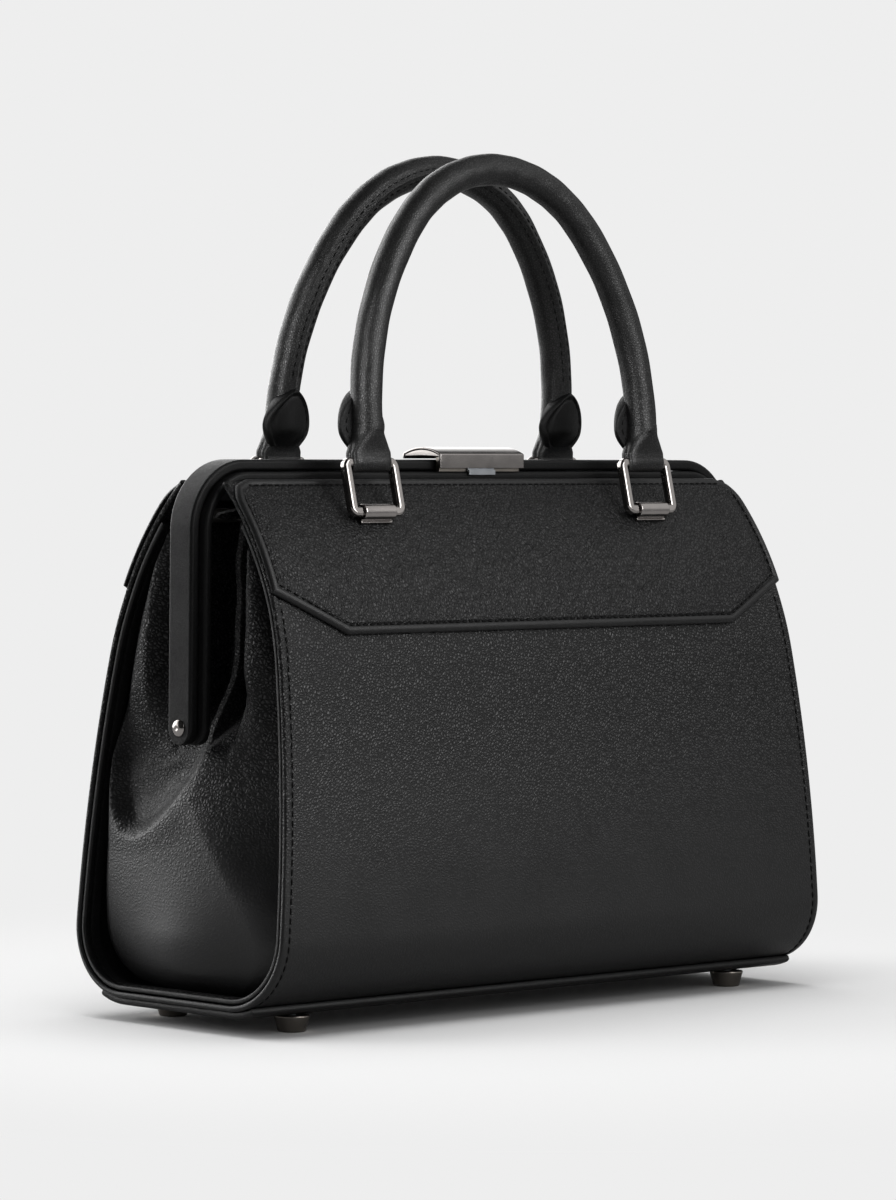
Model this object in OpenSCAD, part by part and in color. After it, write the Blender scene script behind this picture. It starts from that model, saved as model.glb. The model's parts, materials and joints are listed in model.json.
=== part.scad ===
// A framed top handle bag in black leather, with two rolled handles on rings.
// Millimetres. X runs along the front, the front faces -Y, and Z is up.
// The origin is on the floor, under the middle of the bag.
// Walls are drawn by their lean: the angle of the outer face from upright.

/* [Shell] */
// Width of the shell at its base
base_w = 285.6; // [262:0.1:310]
// Width of the shell at the shoulder line
shoulder_w = 265.4; // [250:0.1:280]
// Width of the shell along its top edge
top_w = 262; // [246:0.1:276]
// Greatest depth of the shell, front to back
shell_d = 109; // [96:0.1:124]
// Height of the panels' top edge above the floor
shell_top = 193.6; // [184:0.1:204]
// Height of the shoulder line, where the ends stop tapering
shoulder_z = 150; // [140:0.1:160]
// Height at which the sides turn into the shoulders
waist_z = 130; // [118:0.1:138]
// Radius of the fold between the base and the sides
base_r = 26; // [20:0.1:30]
// Lean of the sides just above the base fold, in degrees
lean_low = 1; // [0:0.1:3]
// Lean of the sides at the waist, in degrees
lean_mid = 10; // [8:0.1:12]
// Gap between the frame's front bar and the panels' top edges
mouth_gap = 2.75; // [2.4:0.05:4]
// Rounding of the top corners, seen from the front
top_corner_r = 9; // [4:0.1:14]
// Thickness of the panels' leather
panel_t = 2.4; // [1.8:0.1:3.2]
// Thickness of the edge binding inside each end
binding_t = 2; // [1.2:0.1:2.6]
// Depth of the edge binding, in from the end
binding_w = 8; // [5:0.1:10]
// Setback of the edge binding from the panel's edge
binding_back = 0.6; // [0.2:0.1:1.5]

/* [Yoke] */
// Thickness of the yoke over the panel
yoke_t = 1.7; // [1.2:0.1:2.4]
// Straight part of the yoke's lower edge, as a share of the shoulder line's width
yoke_knee_share = 0.76; // [0.68:0.01:0.82]
// Height of the yoke's straight lower edge
yoke_knee_z = 139.7; // [132:0.1:146]
// Height of the yoke's side corners
yoke_side_z = 154.8; // [150:0.1:160]
// How far the yoke stands out past the panel's end
yoke_overhang = 0.4; // [0:0.1:1]
// How far the lower panel runs up behind the yoke
tuck = 6; // [4:0.1:8]
// Gap behind the yoke between the lower panel and the facing above it
split_gap = 4.5; // [4.2:0.1:6]
// Gap between the lower panel and the yoke that swings over it
swing_gap = 0.3; // [0.2:0.05:0.5]

/* [Gussets] */
// Thickness of the gusset leather
gusset_t = 1.6; // [1.2:0.1:2.2]
// How far the pillow of the gusset stands out from its seam
pillow_out = 9.5; // [6:0.1:10]
// Extra swell of the gusset along its middle
pillow_swell = 4; // [1:0.1:5]
// Radius of the pillow's rounded border
pillow_r = 14; // [8:0.1:20]
// Depth of the two pleats above the hinge, beside the middle fold
pleat_d = 27; // [18:0.1:32]
// How far below the hinge the pleats start
pleat_low = 4; // [2:0.1:6]
// How far above the hinge the pleats reach their full depth
pleat_high = 34; // [28:0.1:44]
// Height of the gusset's top edge
gusset_top = 177; // [168:0.1:180]
// Height at which the fixed gusset ends and the folding part starts
gusset_split = 99; // [92:0.1:101]
// Gap between a soft piece and what it is sewn to
seat_gap = 0.3; // [0.2:0.05:0.5]

/* [Base] */
// Thickness of the leather patch under the base
patch_t = 2.8; // [2:0.1:3.6]
// Setback of the patch from the shell's ends
patch_back = 1.8; // [1:0.1:4]
// Angle that the patch turns up round the base fold, in degrees
patch_angle = 24; // [10:1:35]
// Thickness of the stiffening boards
board_t = 1.6; // [1:0.1:2.4]
// Setback of the boards and the lining from the base fold
board_back = 4; // [2:0.1:8]
// Height of a foot
foot_h = 5.9; // [4:0.1:8]
// Diameter of a foot where it meets the base
foot_top_d = 13; // [10:0.1:16]
// Diameter of a foot on the floor
foot_low_d = 10.2; // [8:0.1:12]
// Distance of each foot's middle from the shell's end
foot_in_x = 28.5; // [24:0.1:40]
// Distance of each foot's middle from the shell's front or rear
foot_in_y = 23.3; // [21:0.1:28]
// Diameter of a foot's screw
screw_d = 3; // [2:0.1:4]
// Diameter of a foot screw's head
screw_head_d = 9; // [6:0.1:10]
// Height of a foot screw's head
screw_head_h = 0.8; // [0.5:0.1:1.2]

/* [Frame] */
// Rise of the frame above the panels' top edge
frame_rise = 7.4; // [7:0.1:9]
// Width of each frame bar, front to back
frame_w = 12; // [10:0.1:14]
// Thickness of the outer bar, which the rear half of the bag hangs on
outer_t = 4; // [3.4:0.1:4.2]
// Thickness of the inner bar, which the front half of the bag hangs on
inner_t = 3.4; // [3:0.1:3.8]
// Gap between the nested bars
nest_gap = 0.3; // [0.2:0.05:0.5]
// Gap between the inner bar's legs and the shell's ends
leg_gap = 0.6; // [0.4:0.1:1.2]
// How far the inner bar stands forward of the outer bar
inner_forward = 2.8; // [2:0.1:3.4]
// Outside radius of the outer bar's top corners
frame_corner_r = 25; // [22:0.1:30]
// Height of the hinge above the floor
hinge_z = 106.3; // [104:0.1:112]
// Thickness of the spring steel strip inside each bar
core_t = 1.4; // [1:0.1:1.8]
// Leather left beside the steel strip
core_rim = 1.6; // [1.2:0.1:2.4]
// Thickness of the steel rails that carry the facings
rail_t = 1.2; // [1:0.1:1.6]
// Height of a rail's flange
rail_flange_t = 2.3; // [2:0.1:2.6]
// Height of a rail's lap on the facing
rail_lap = 6; // [4:0.1:8]

/* [Hinge rivets] */
// Diameter of a hinge rivet's shank
rivet_d = 3.2; // [2.4:0.1:4]
// Diameter of a hinge rivet's domed head
rivet_head_d = 6.2; // [5:0.1:8]
// Height of a hinge rivet's domed head
rivet_head_h = 1.2; // [0.8:0.1:1.6]
// Diameter of the washer between the inner leg and the gusset
washer_d = 9.6; // [8:0.1:11]
// Thickness of that washer
washer_t = 1.2; // [0.8:0.1:1.4]

/* [Latch] */
// Length of the latch cap
cap_w = 44; // [36:0.1:52]
// Depth of the latch cap, front to back
cap_d = 19.8; // [19.4:0.1:21]
// Rise of the cap's top above the frame
cap_rise = 4.6; // [4.2:0.1:6]
// Rise of the cap's long edges above the frame
cap_edge_rise = 2.2; // [2:0.1:2.6]
// Height of the cap's front lip
lip_h = 5.2; // [4.5:0.1:5.6]
// Wall of the latch cap
cap_t = 0.8; // [0.6:0.1:0.9]
// Length of the slide button
button_w = 13.6; // [10:0.1:16]
// Height of the slide button
button_h = 1.8; // [1.4:0.1:2]
// How far the slide button travels
button_travel = 10; // [8:0.1:12]
// Thickness of the slider's blade
blade_t = 0.6; // [0.4:0.05:0.6]
// Gap on each side of the slider
slide_gap = 0.15; // [0.1:0.01:0.15]

/* [Rings and bridges] */
// Distance between the rings of one handle
ring_pitch = 144; // [130:0.1:156]
// Thickness of a ring's wire
wire_d = 3.5; // [3:0.1:4]
// Outside width of a ring
ring_w = 27; // [25:0.1:30]
// Height of a ring between the axes of its two bars
ring_h = 18.1; // [16:0.1:20]
// Outside radius of a ring's corners
ring_corner_r = 3.7; // [3.6:0.05:3.7]
// Inward lean of a ring at rest, in degrees
ring_lean = 13.7; // [8:0.1:16]
// Lean of the shoulder where the bridges sit, as a share of its lean at the top edge
bridge_lean_share = 0.8; // [0.74:0.01:0.84]
// Width of a bridge
bridge_w = 15.4; // [12:0.1:17]
// Height of a bridge's plate
bridge_h = 6.6; // [6:0.1:8]
// Thickness of a bridge's plate
bridge_t = 1; // [0.8:0.1:1.4]
// Wall of a bridge's barrel round the ring's bar
barrel_t = 1.1; // [0.8:0.1:1.4]
// Diameter of a bridge's prongs
prong_d = 1.8; // [1.4:0.1:2.2]
// Distance between a bridge's prongs
prong_pitch = 9; // [7:0.1:10]
// Thickness of the plate that a bridge's prongs are closed over
back_plate_t = 0.8; // [0.6:0.1:1.2]
// Running gap round the rings' bars, the rivets and the prongs
fit_gap = 0.05; // [0.03:0.01:0.08]

/* [Handles] */
// Diameter of the rolled handle
handle_d = 11.7; // [10:0.1:13]
// Rise of the handle's centre line above its straight ends
handle_rise = 92; // [80:0.1:104]
// Radius of the handle's crown along its centre line
crown_r = 60; // [54:0.1:64]
// Inward lean of a handle at rest, in degrees
handle_lean = 5; // [3:0.1:6]
// Height of the handle's straight ends above the ring's bar
handle_foot = 16; // [14:0.1:20]
// Wall of the handle's leather round its cord core
handle_t = 1.7; // [1.2:0.1:2.4]
// Width of the strap that loops round a ring
strap_w = 19.2; // [16:0.1:19.2]
// Thickness of the strap
strap_t = 1.8; // [1.4:0.1:2.2]
// Height at which the rolled handle leaves the strap
strap_h = 8; // [7:0.1:9]
// Thickness of the strap's neck, between the ring and the handle
neck_t = 4.4; // [3.6:0.1:5]
// Greatest width of the leaf-shaped tab behind the handle's end
leaf_w = 22.4; // [20:0.1:26]
// Height of the leaf's widest place above the ring's bar
leaf_mid = 19; // [17:0.1:21]
// Height of the leaf's tip above the ring's bar
leaf_top = 31; // [28:0.1:34]
// Setback of the leaf behind the handle's centre line
leaf_back = 1.2; // [0.8:0.1:2]
// Thickness of the leaf
leaf_t = 2; // [1.6:0.1:2.6]
// Thickness of the leaf where it goes round the handle
cuff_t = 1; // [0.6:0.1:1.4]

/* [Inside] */
// Thickness of the lining
lining_t = 0.8; // [0.5:0.1:1.2]
// Width of the slip pocket
pocket_w = 130; // [100:1:160]
// Height of the slip pocket
pocket_h = 68; // [50:1:80]
// Height of the slip pocket's lower edge
pocket_z = 58; // [50:1:70]
// Thickness of the slip pocket's leather
pocket_t = 1; // [0.8:0.1:1.6]

/* [Hidden] */
$fn = 48;
leather = "#2b2b2b";
leather_edge = "#1d1d1d";
gunmetal = "#8a8886";
dark_metal = "#55534f";
steel = "#9aa0a6";
board = "#8f8270";
cloth = "#3a3733";

// The shell's wall: base fold, side and shoulder are three arcs that meet smoothly
shell_z = foot_h + patch_t;
fold_y = shell_d / 2 - base_r;
fold_z = shell_z + base_r;
side_y = fold_y + base_r * cos(lean_low);
side_z = fold_z + base_r * sin(lean_low);
side_r = (waist_z - side_z) / (sin(lean_mid) - sin(lean_low));
side_cy = side_y - side_r * cos(lean_low);
side_cz = side_z - side_r * sin(lean_low);
waist_y = side_cy + side_r * cos(lean_mid);
top_y = frame_w / 2 + inner_forward + mouth_gap;
lean_top = 2 * atan((waist_y - top_y) / (shell_top - waist_z)) - lean_mid;
shoulder_r = (shell_top - waist_z) / (sin(lean_top) - sin(lean_mid));
shoulder_cy = waist_y - shoulder_r * cos(lean_mid);
shoulder_cz = waist_z - shoulder_r * sin(lean_mid);
fold_steps = 9;
side_steps = 5;
shoulder_steps = 9;
wall_leans = concat(
    [for (i = [0:fold_steps]) mix(-90, lean_low, i / fold_steps)],
    [for (i = [1:side_steps]) mix(lean_low, lean_mid, i / side_steps)],
    [for (i = [1:shoulder_steps]) mix(lean_mid, lean_top, i / shoulder_steps)]);

yoke_knee_w = yoke_knee_share * shoulder_w;
bridge_lean = bridge_lean_share * lean_top;
foot_x = base_w / 2 - foot_in_x;
foot_y = shell_d / 2 - foot_in_y;

// Depths of the layers, measured in from the lower panels' outer face
yoke_in = -swing_gap;
yoke_out = yoke_in - yoke_t;
facing_in = panel_t - swing_gap;
board_in = panel_t + board_t;
lining_in = board_in + lining_t;
binding_in = panel_t + binding_t;
cut = 1;
reach = base_w;

// The frame: two nested bars that turn about one axis
outer_top = shell_top + frame_rise;
inner_top = outer_top - outer_t - nest_gap;
inner_low = inner_top - inner_t;
inner_half = shoulder_w / 2 + leg_gap + inner_t;
outer_half = inner_half + nest_gap + outer_t;
inner_corner_r = frame_corner_r - outer_t - nest_gap;
outer_front = -frame_w / 2;
inner_front = outer_front - inner_forward;
rivet_hole_r = rivet_d / 2 + fit_gap;
rail_end_gap = 2;
rail_half = outer_half - frame_corner_r - rail_end_gap;
rail_y = wall_point(lean_top, facing_in)[0] - slide_gap;

// The latch: plate, slider and cap stand in front of and over the outer bar
cap_half_d = cap_d / 2;
lip_in = -cap_half_d + cap_t;
blade_front = lip_in + slide_gap;
plate_front = blade_front + blade_t + slide_gap;
plate_back = outer_front - nest_gap;
plate_half = cap_w / 2 - cap_t - seat_gap;
plate_top = outer_top + cap_edge_rise - cap_t - seat_gap;
cap_edge = outer_top + cap_edge_rise;
cap_top = outer_top + cap_rise;
cap_low = outer_top + nest_gap;
lip_low = cap_edge - lip_h;
cap_r = (pow(cap_half_d, 2) + pow(cap_rise - cap_edge_rise, 2)) / (2 * (cap_rise - cap_edge_rise));
button_drop = 0.6;
button_top = lip_low - button_drop;
nose_w = 5;
nose_h = 1.4;
nose_reach = 0.6;
nose_z = inner_top + outer_t / 2;
pocket_depth = nose_reach + nest_gap;
keeper_t = 0.5;
arm_w = 1.6;
spring_d = 1.4;
spring_y = outer_front + spring_d;
spring_z = outer_top + nest_gap + spring_d / 2;
lug_x = button_travel + arm_w;

// Bridges, rings and handles, placed on the shoulder
barrel_r = wire_d / 2 + fit_gap + barrel_t;
bridge_rise = barrel_r + seat_gap;
bridge_y = wall_point(bridge_lean, yoke_out - bridge_rise)[0];
bridge_z = wall_point(bridge_lean, yoke_out - bridge_rise)[1];
ring_top_y = bridge_y - ring_h * sin(ring_lean);
ring_top_z = bridge_z + ring_h * cos(ring_lean);
ring_half = ring_w / 2 - wire_d / 2;
ring_bend_r = ring_corner_r - wire_d / 2;
wire_edge_r = wire_d / 3;
loop_r = wire_d / 2 + fit_gap;
handle_half = ring_pitch / 2;
bend = 2 * atan((handle_half - crown_r) / (handle_rise - crown_r));
flank_r = crown_r + (handle_rise - crown_r) / sin(bend);
arc_gap = 0.2;
seam_band_w = 1.6;
seam_band_t = 0.04;

// The gusset's grid, which its two parts share
gusset_rows = 13;
gusset_cols = 20;
gusset_low = shell_z + binding_in + seat_gap;
washer_x = inner_half - inner_t - nest_gap / 2 - washer_t;
seam_back = half_w(hinge_z - washer_d / 2) - washer_x + seat_gap + pillow_out + pillow_swell;
pleat_share = 0.7;

function mix(a, b, s) = a + (b - a) * s;
function ease(s) = let (t = max(0, min(1, s))) t * t * (3 - 2 * t);
function reversed(points) = [for (i = [len(points) - 1:-1:0]) points[i]];
function both_sides(points) = concat(points, [for (p = reversed(points)) [-p[0], p[1]]]);

// A point of the shell's wall at one lean, set in by a depth: [y, z]
function wall_point(lean, depth) =
    let (c = lean <= lean_low ? [fold_y, fold_z, base_r]
        : lean <= lean_mid ? [side_cy, side_cz, side_r] : [shoulder_cy, shoulder_cz, shoulder_r])
    [c[0] + (c[2] - depth) * cos(lean), c[1] + (c[2] - depth) * sin(lean)];

// Half the depth of the space inside the wall, at one height and one depth of layer
function wall_y(z, depth) =
    z < wall_point(lean_low, depth)[1]
        ? wall_point(asin(max(-1, (z - fold_z) / (base_r - depth))), depth)[0]
        : z < wall_point(lean_mid, depth)[1]
            ? side_cy + (side_r - depth) * cos(asin((z - side_cz) / (side_r - depth)))
            : shoulder_cy + (shoulder_r - depth) * cos(asin((z - shoulder_cz) / (shoulder_r - depth)));

// Half the width of the shell at one height
function half_w(z) =
    z < shoulder_z
        ? mix(base_w, shoulder_w, (z - shell_z) / (shoulder_z - shell_z)) / 2
        : mix(shoulder_w, top_w, (z - shoulder_z) / (shell_top - shoulder_z)) / 2;

// The half wall behind the middle of the bag, between two depths, up to one lean
module wall(outer, inner, upto = lean_top) {
    leans = concat([for (a = wall_leans) if (a < upto) a], [upto]);
    rotate([90, 0, 90])
        linear_extrude(height = 2 * reach, center = true)
            polygon(concat(
                [[0, shell_z + outer]],
                [for (a = leans) wall_point(a, outer)],
                reversed([for (a = leans) wall_point(a, inner)]),
                [[0, shell_z + inner]]));
}

// Everything that an outline covers when it is seen from the front
module seen_from_front(points) {
    rotate([90, 0, 0])
        linear_extrude(height = 2 * reach, center = true)
            polygon(points);
}

// Outline of the lower panels: tapered ends, and a top that follows the yoke's lower edge
module lower_outline(inset, up) {
    side = yoke_side_z + up;
    seen_from_front(both_sides([
        [half_w(0) - inset, 0],
        [half_w(shoulder_z) - inset, shoulder_z],
        [half_w(side) - inset, side],
        [yoke_knee_w / 2 - yoke_knee_share * inset, yoke_knee_z + up]]));
}

// Outline of the yoke and the facing: from the knee line up to rounded top corners
module upper_outline(inset, up, top) {
    side = yoke_side_z + up;
    r = top_corner_r;
    corner_x = half_w(top) - inset - r;
    seen_from_front(both_sides(concat(
        [[yoke_knee_w / 2, yoke_knee_z + up], [half_w(side) - inset, side]],
        [for (a = [0:15:90]) [corner_x + r * cos(a), top - r + r * sin(a)]])));
}

module at_front() {
    mirror([0, 1, 0]) children();
}

module shell_panel() {
    color(leather)
        intersection() {
            wall(0, panel_t);
            lower_outline(0, tuck);
            foot_holes_left();
        }
}

// The space outside the foot screws, as one block with their holes and sunk seats
module foot_holes_left() {
    difference() {
        translate([-reach, -reach, -reach]) cube(2 * reach);
        at_feet() {
            translate([0, 0, -cut]) cylinder(d = screw_d + 2 * fit_gap, h = fold_z);
            translate([0, 0, shell_z + panel_t]) cylinder(d = screw_head_d + 2 * fit_gap, h = fold_z);
        }
    }
}

module at_feet() {
    for (x = [-1, 1], y = [-1, 1])
        translate([x * foot_x, y * foot_y, 0]) children();
}

module front_panel() {
    at_front() shell_panel();
}

module rear_panel() {
    shell_panel();
}

// One patch under the whole base, turned up a little round both folds
module base_patch() {
    color(leather_edge)
        intersection() {
            union() {
                wall(-patch_t, 0, patch_angle - 90);
                at_front() wall(-patch_t, 0, patch_angle - 90);
            }
            lower_outline(patch_back, tuck);
            foot_holes_left();
        }
}

// The turned edge that runs down, under and up inside one end of the shell
module edge_binding() {
    color(leather_edge)
        intersection() {
            union() {
                wall(panel_t, binding_in);
                at_front() wall(panel_t, binding_in);
            }
            difference() {
                lower_outline(binding_back, tuck);
                lower_outline(binding_back + binding_w, 2 * tuck);
            }
            translate([0, -reach, -reach]) cube(2 * reach);
        }
}

module right_edge_binding() {
    edge_binding();
}

module left_edge_binding() {
    mirror([1, 0, 0]) edge_binding();
}

// Rise of the pillow near a border: a quarter circle over the border's radius
function pillow_rise(d) = let (s = max(0, min(1, d / pillow_r))) sqrt(1 - pow(1 - s, 2));

// Outer face of the gusset at a share across and a height: [x, y, z]
function gusset_point(across, z) =
    let (
        half = wall_y(z, binding_in) - seat_gap,
        border = pillow_rise((1 - abs(across)) * half) * pillow_rise(z - gusset_low + pillow_r / 4),
        swell = pillow_swell * (1 - across * across),
        pleat = ease((z - hinge_z + pleat_low) / (pleat_low + pleat_high)),
        fold = pleat_d * max(0, 1 - abs(2 * abs(across) / pleat_share - 1)))
    [half_w(z) - seam_back + (pillow_out + swell * (1 - pleat)) * border - pleat * fold, across * half, z];

// A closed leather sheet over the gusset's grid between two heights
module gusset_sheet(low, high) {
    across = [for (j = [0:gusset_cols]) sin(90 * (2 * j / gusset_cols - 1))];
    heights = [for (i = [0:gusset_rows]) mix(low, high, i / gusset_rows)];
    face = [for (z = heights, a = across) gusset_point(a, z)];
    back = [for (p = face) p - [gusset_t, 0, 0]];
    n = len(across);
    half = len(face);
    function cell(i, j) = i * n + j;
    outer = [for (i = [0:gusset_rows - 1], j = [0:gusset_cols - 1])
        each [[cell(i, j), cell(i + 1, j + 1), cell(i, j + 1)],
            [cell(i, j), cell(i + 1, j), cell(i + 1, j + 1)]]];
    inner = [for (t = outer) [t[0] + half, t[2] + half, t[1] + half]];
    border = concat(
        [for (j = [0:gusset_cols - 1]) [cell(0, j), cell(0, j + 1)]],
        [for (i = [0:gusset_rows - 1]) [cell(i, gusset_cols), cell(i + 1, gusset_cols)]],
        [for (j = [gusset_cols:-1:1]) [cell(gusset_rows, j), cell(gusset_rows, j - 1)]],
        [for (i = [gusset_rows:-1:1]) [cell(i, 0), cell(i - 1, 0)]]);
    rim = [for (e = border) each [[e[0], e[1], e[1] + half], [e[0], e[1] + half, e[0] + half]]];
    color(leather) polyhedron(points = concat(face, back), faces = concat(outer, inner, rim), convexity = 6);
}

module right_gusset() {
    gusset_sheet(gusset_low, gusset_split - seat_gap);
}

module left_gusset() {
    mirror([1, 0, 0]) right_gusset();
}

// The pleated part above the hinge, which folds as the frame opens
module right_gusset_fold() {
    gusset_sheet(gusset_split, gusset_top);
}

module left_gusset_fold() {
    mirror([1, 0, 0]) right_gusset_fold();
}

// The flat board under the lining of the base
module base_board() {
    color(board)
        intersection() {
            translate([-reach, -(fold_y - board_back), shell_z + panel_t])
                cube([2 * reach, 2 * (fold_y - board_back), board_t]);
            lower_outline(seam_back + gusset_t + seat_gap, 0);
        }
}

// The board that stiffens one panel, from above the base fold to below the yoke's split
module side_board() {
    color(board)
        intersection() {
            wall(panel_t, board_in);
            lower_outline(seam_back + gusset_t + seat_gap, 0);
            translate([-reach, -reach, fold_z - board_back]) cube(2 * reach);
        }
}

module front_board() {
    at_front() side_board();
}

module rear_board() {
    side_board();
}

module lining() {
    color(cloth)
        intersection() {
            union() {
                wall(board_in, lining_in);
                at_front() wall(board_in, lining_in);
            }
            lower_outline(seam_back + gusset_t + seat_gap, 0);
        }
}

// The lining behind one gusset, below the pleat
module lining_end() {
    color(cloth)
        intersection() {
            rotate([90, 0, 90])
                linear_extrude(height = 2 * reach)
                    polygon(both_sides([
                        for (a = concat([for (a = wall_leans) if (a < 0) a], [lean_low, lean_mid]))
                            wall_point(a, lining_in)]));
            difference() {
                lower_outline(seam_back + gusset_t + seat_gap, 0);
                lower_outline(seam_back + gusset_t + seat_gap + lining_t, tuck);
            }
            translate([0, -reach, 0]) cube([reach, 2 * reach, gusset_split - gusset_t]);
        }
}

module right_lining_end() {
    lining_end();
}

module left_lining_end() {
    mirror([1, 0, 0]) lining_end();
}

module slip_pocket() {
    color(leather)
        intersection() {
            wall(lining_in, lining_in + pocket_t);
            translate([-pocket_w / 2, 0, pocket_z]) cube([pocket_w, reach, pocket_h]);
        }
}

module feet() {
    color(dark_metal)
        at_feet()
            difference() {
                cylinder(d1 = foot_low_d, d2 = foot_top_d, h = foot_h);
                translate([0, 0, foot_h / 2]) cylinder(d = screw_d, h = foot_h);
            }
}

// Each screw starts inside its foot and ends in a flat head on the base
module foot_screws() {
    color(steel)
        at_feet() {
            translate([0, 0, foot_h / 2]) cylinder(d = screw_d, h = shell_z + panel_t - foot_h / 2);
            translate([0, 0, shell_z + panel_t]) cylinder(d = screw_head_d, h = screw_head_h);
        }
}

// A rounded arch, seen from the front
module arch(half, top, r, low) {
    translate([-half, low]) square([2 * half, top - r - low]);
    translate([r - half, low]) square([2 * (half - r), top - low]);
    for (x = [-1, 1])
        translate([x * (half - r), top - r]) circle(r = r);
}

// One frame bar: an arch of a given thickness with round leg ends about the hinge's height
module frame_bar(half, top, r, t, front, w) {
    translate([0, front + w, 0])
        rotate([90, 0, 0])
            linear_extrude(height = w)
                difference() {
                    arch(half, top, r, hinge_z);
                    arch(half - t, top - t, r - t, hinge_z - cut);
                }
    for (x = [-1, 1])
        translate([x * (half - t / 2), front + w / 2, hinge_z])
            rotate([0, 90, 0])
                cylinder(d = w, h = t, center = true);
}

module hinge_bore() {
    translate([0, 0, hinge_z])
        rotate([0, 90, 0])
            cylinder(r = rivet_hole_r, h = 2 * reach, center = true);
}

// The steel strip that lies inside a bar of the same outline
module strip(half, top, r, t, front) {
    skin = (t - core_t) / 2;
    frame_bar(half - skin, top - skin, r - skin, core_t, front + core_rim, frame_w - 2 * core_rim);
}

module frame_core(half, top, r, t, front) {
    color(steel)
        difference() {
            strip(half, top, r, t, front);
            hinge_bore();
        }
}

module frame_cover(half, top, r, t, front) {
    color(leather)
        difference() {
            frame_bar(half, top, r, t, front, frame_w);
            strip(half, top, r, t, front);
            hinge_bore();
            children();
        }
}

module front_frame_core() {
    frame_core(inner_half, inner_top, inner_corner_r, inner_t, inner_front);
}

module front_frame_cover() {
    frame_cover(inner_half, inner_top, inner_corner_r, inner_t, inner_front);
}

module rear_frame_core() {
    frame_core(outer_half, outer_top, frame_corner_r, outer_t, outer_front);
}

module rear_frame_cover() {
    frame_cover(outer_half, outer_top, frame_corner_r, outer_t, outer_front)
        keeper_block(0);
}

module hinge_rivet() {
    color(gunmetal) {
        translate([inner_half - inner_t - nest_gap / 2, 0, hinge_z])
            rotate([0, 90, 0])
                cylinder(d = rivet_d, h = outer_half - inner_half + inner_t + nest_gap / 2 + rivet_head_h / 2);
        translate([outer_half, 0, hinge_z])
            rivet_dome();
    }
}

// A shallow dome on the leg's outer face
module rivet_dome() {
    ball_r = (pow(rivet_head_d / 2, 2) + pow(rivet_head_h, 2)) / (2 * rivet_head_h);
    intersection() {
        translate([rivet_head_h - ball_r, 0, 0]) sphere(r = ball_r);
        translate([0, -reach, -reach]) cube(2 * reach);
    }
}

module right_hinge_rivet() {
    hinge_rivet();
}

module left_hinge_rivet() {
    mirror([1, 0, 0]) hinge_rivet();
}

// Discs that the rivets are closed over, between the inner legs and the gussets
module hinge_washers() {
    color(steel)
        for (x = [-1, 1])
            translate([x * (washer_x + washer_t / 2), 0, hinge_z])
                rotate([0, 90, 0])
                    cylinder(d = washer_d, h = washer_t, center = true);
}

// The lap of a rail on its facing, and a flange along the top
module rail_profile(flange_from) {
    intersection() {
        wall(facing_in, facing_in + rail_t);
        translate([-rail_half, 0, wall_point(lean_top, facing_in)[1] - rail_lap])
            cube([2 * rail_half, reach, reach]);
    }
    translate([-rail_half, flange_from, inner_low - rail_flange_t])
        cube([2 * rail_half, rail_y - flange_from, rail_flange_t]);
}

module front_rail() {
    color(steel)
        at_front() rail_profile(rail_t);
}

// The rear rail climbs behind the inner bar to reach the outer bar
module rear_rail() {
    web_y = inner_front + frame_w + 2 * nest_gap;
    color(steel) {
        rail_profile(web_y);
        translate([-rail_half, web_y, inner_low - rail_flange_t])
            cube([2 * rail_half, rail_t, outer_top - outer_t - inner_low + rail_flange_t]);
    }
}

module facing() {
    color(leather)
        difference() {
            intersection() {
                wall(yoke_in, facing_in);
                upper_outline(0, tuck + split_gap, wall_point(lean_top, yoke_in)[1]);
            }
            at_bridges() prongs(prong_d + 2 * fit_gap, 0);
        }
}

module yoke() {
    color(leather)
        difference() {
            intersection() {
                wall(yoke_out, yoke_in);
                upper_outline(-yoke_overhang, 0, wall_point(lean_top, yoke_out)[1]);
            }
            at_bridges() prongs(prong_d + 2 * fit_gap, 0);
        }
}

module front_facing() {
    at_front() facing();
}

module rear_facing() {
    facing();
}

module front_yoke() {
    at_front() yoke();
}

module rear_yoke() {
    yoke();
}

// Bridge frame: origin on the ring's axis, z out of the shoulder, y down it
module at_bridge(side) {
    translate([side * ring_pitch / 2, bridge_y, bridge_z])
        rotate([bridge_lean - 90, 0, 0])
            children();
}

module at_bridges() {
    for (side = [-1, 1])
        at_bridge(side) children();
}

// Two prongs from a bridge's plate to its back plate, left short by a gap
module prongs(d, short) {
    depth = bridge_rise + facing_in - yoke_out + seat_gap + back_plate_t - short;
    for (x = [-1, 1])
        translate([x * prong_pitch / 2, 0, -depth])
            cylinder(d = d, h = depth - barrel_r);
}

module bridge_body() {
    color(gunmetal) {
        difference() {
            union() {
                rotate([0, 90, 0]) cylinder(r = barrel_r, h = bridge_w, center = true);
                translate([-bridge_w / 2, -bridge_h / 2, -barrel_r])
                    cube([bridge_w, bridge_h, bridge_t]);
            }
            rotate([0, 90, 0]) cylinder(r = loop_r, h = bridge_w + 2 * cut, center = true);
        }
        prongs(prong_d, 0);
    }
}

module back_plates() {
    color(steel)
        at_bridges()
            difference() {
                translate([-bridge_w / 2, -bridge_h / 2,
                    -bridge_rise - facing_in + yoke_out - seat_gap - back_plate_t])
                    cube([bridge_w, bridge_h, back_plate_t]);
                prongs(prong_d, -cut);
            }
}

module front_left_bridge() {
    at_front() at_bridge(-1) bridge_body();
}

module front_right_bridge() {
    at_front() at_bridge(1) bridge_body();
}

module rear_left_bridge() {
    at_bridge(-1) bridge_body();
}

module rear_right_bridge() {
    at_bridge(1) bridge_body();
}

module front_back_plates() {
    at_front() back_plates();
}

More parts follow.
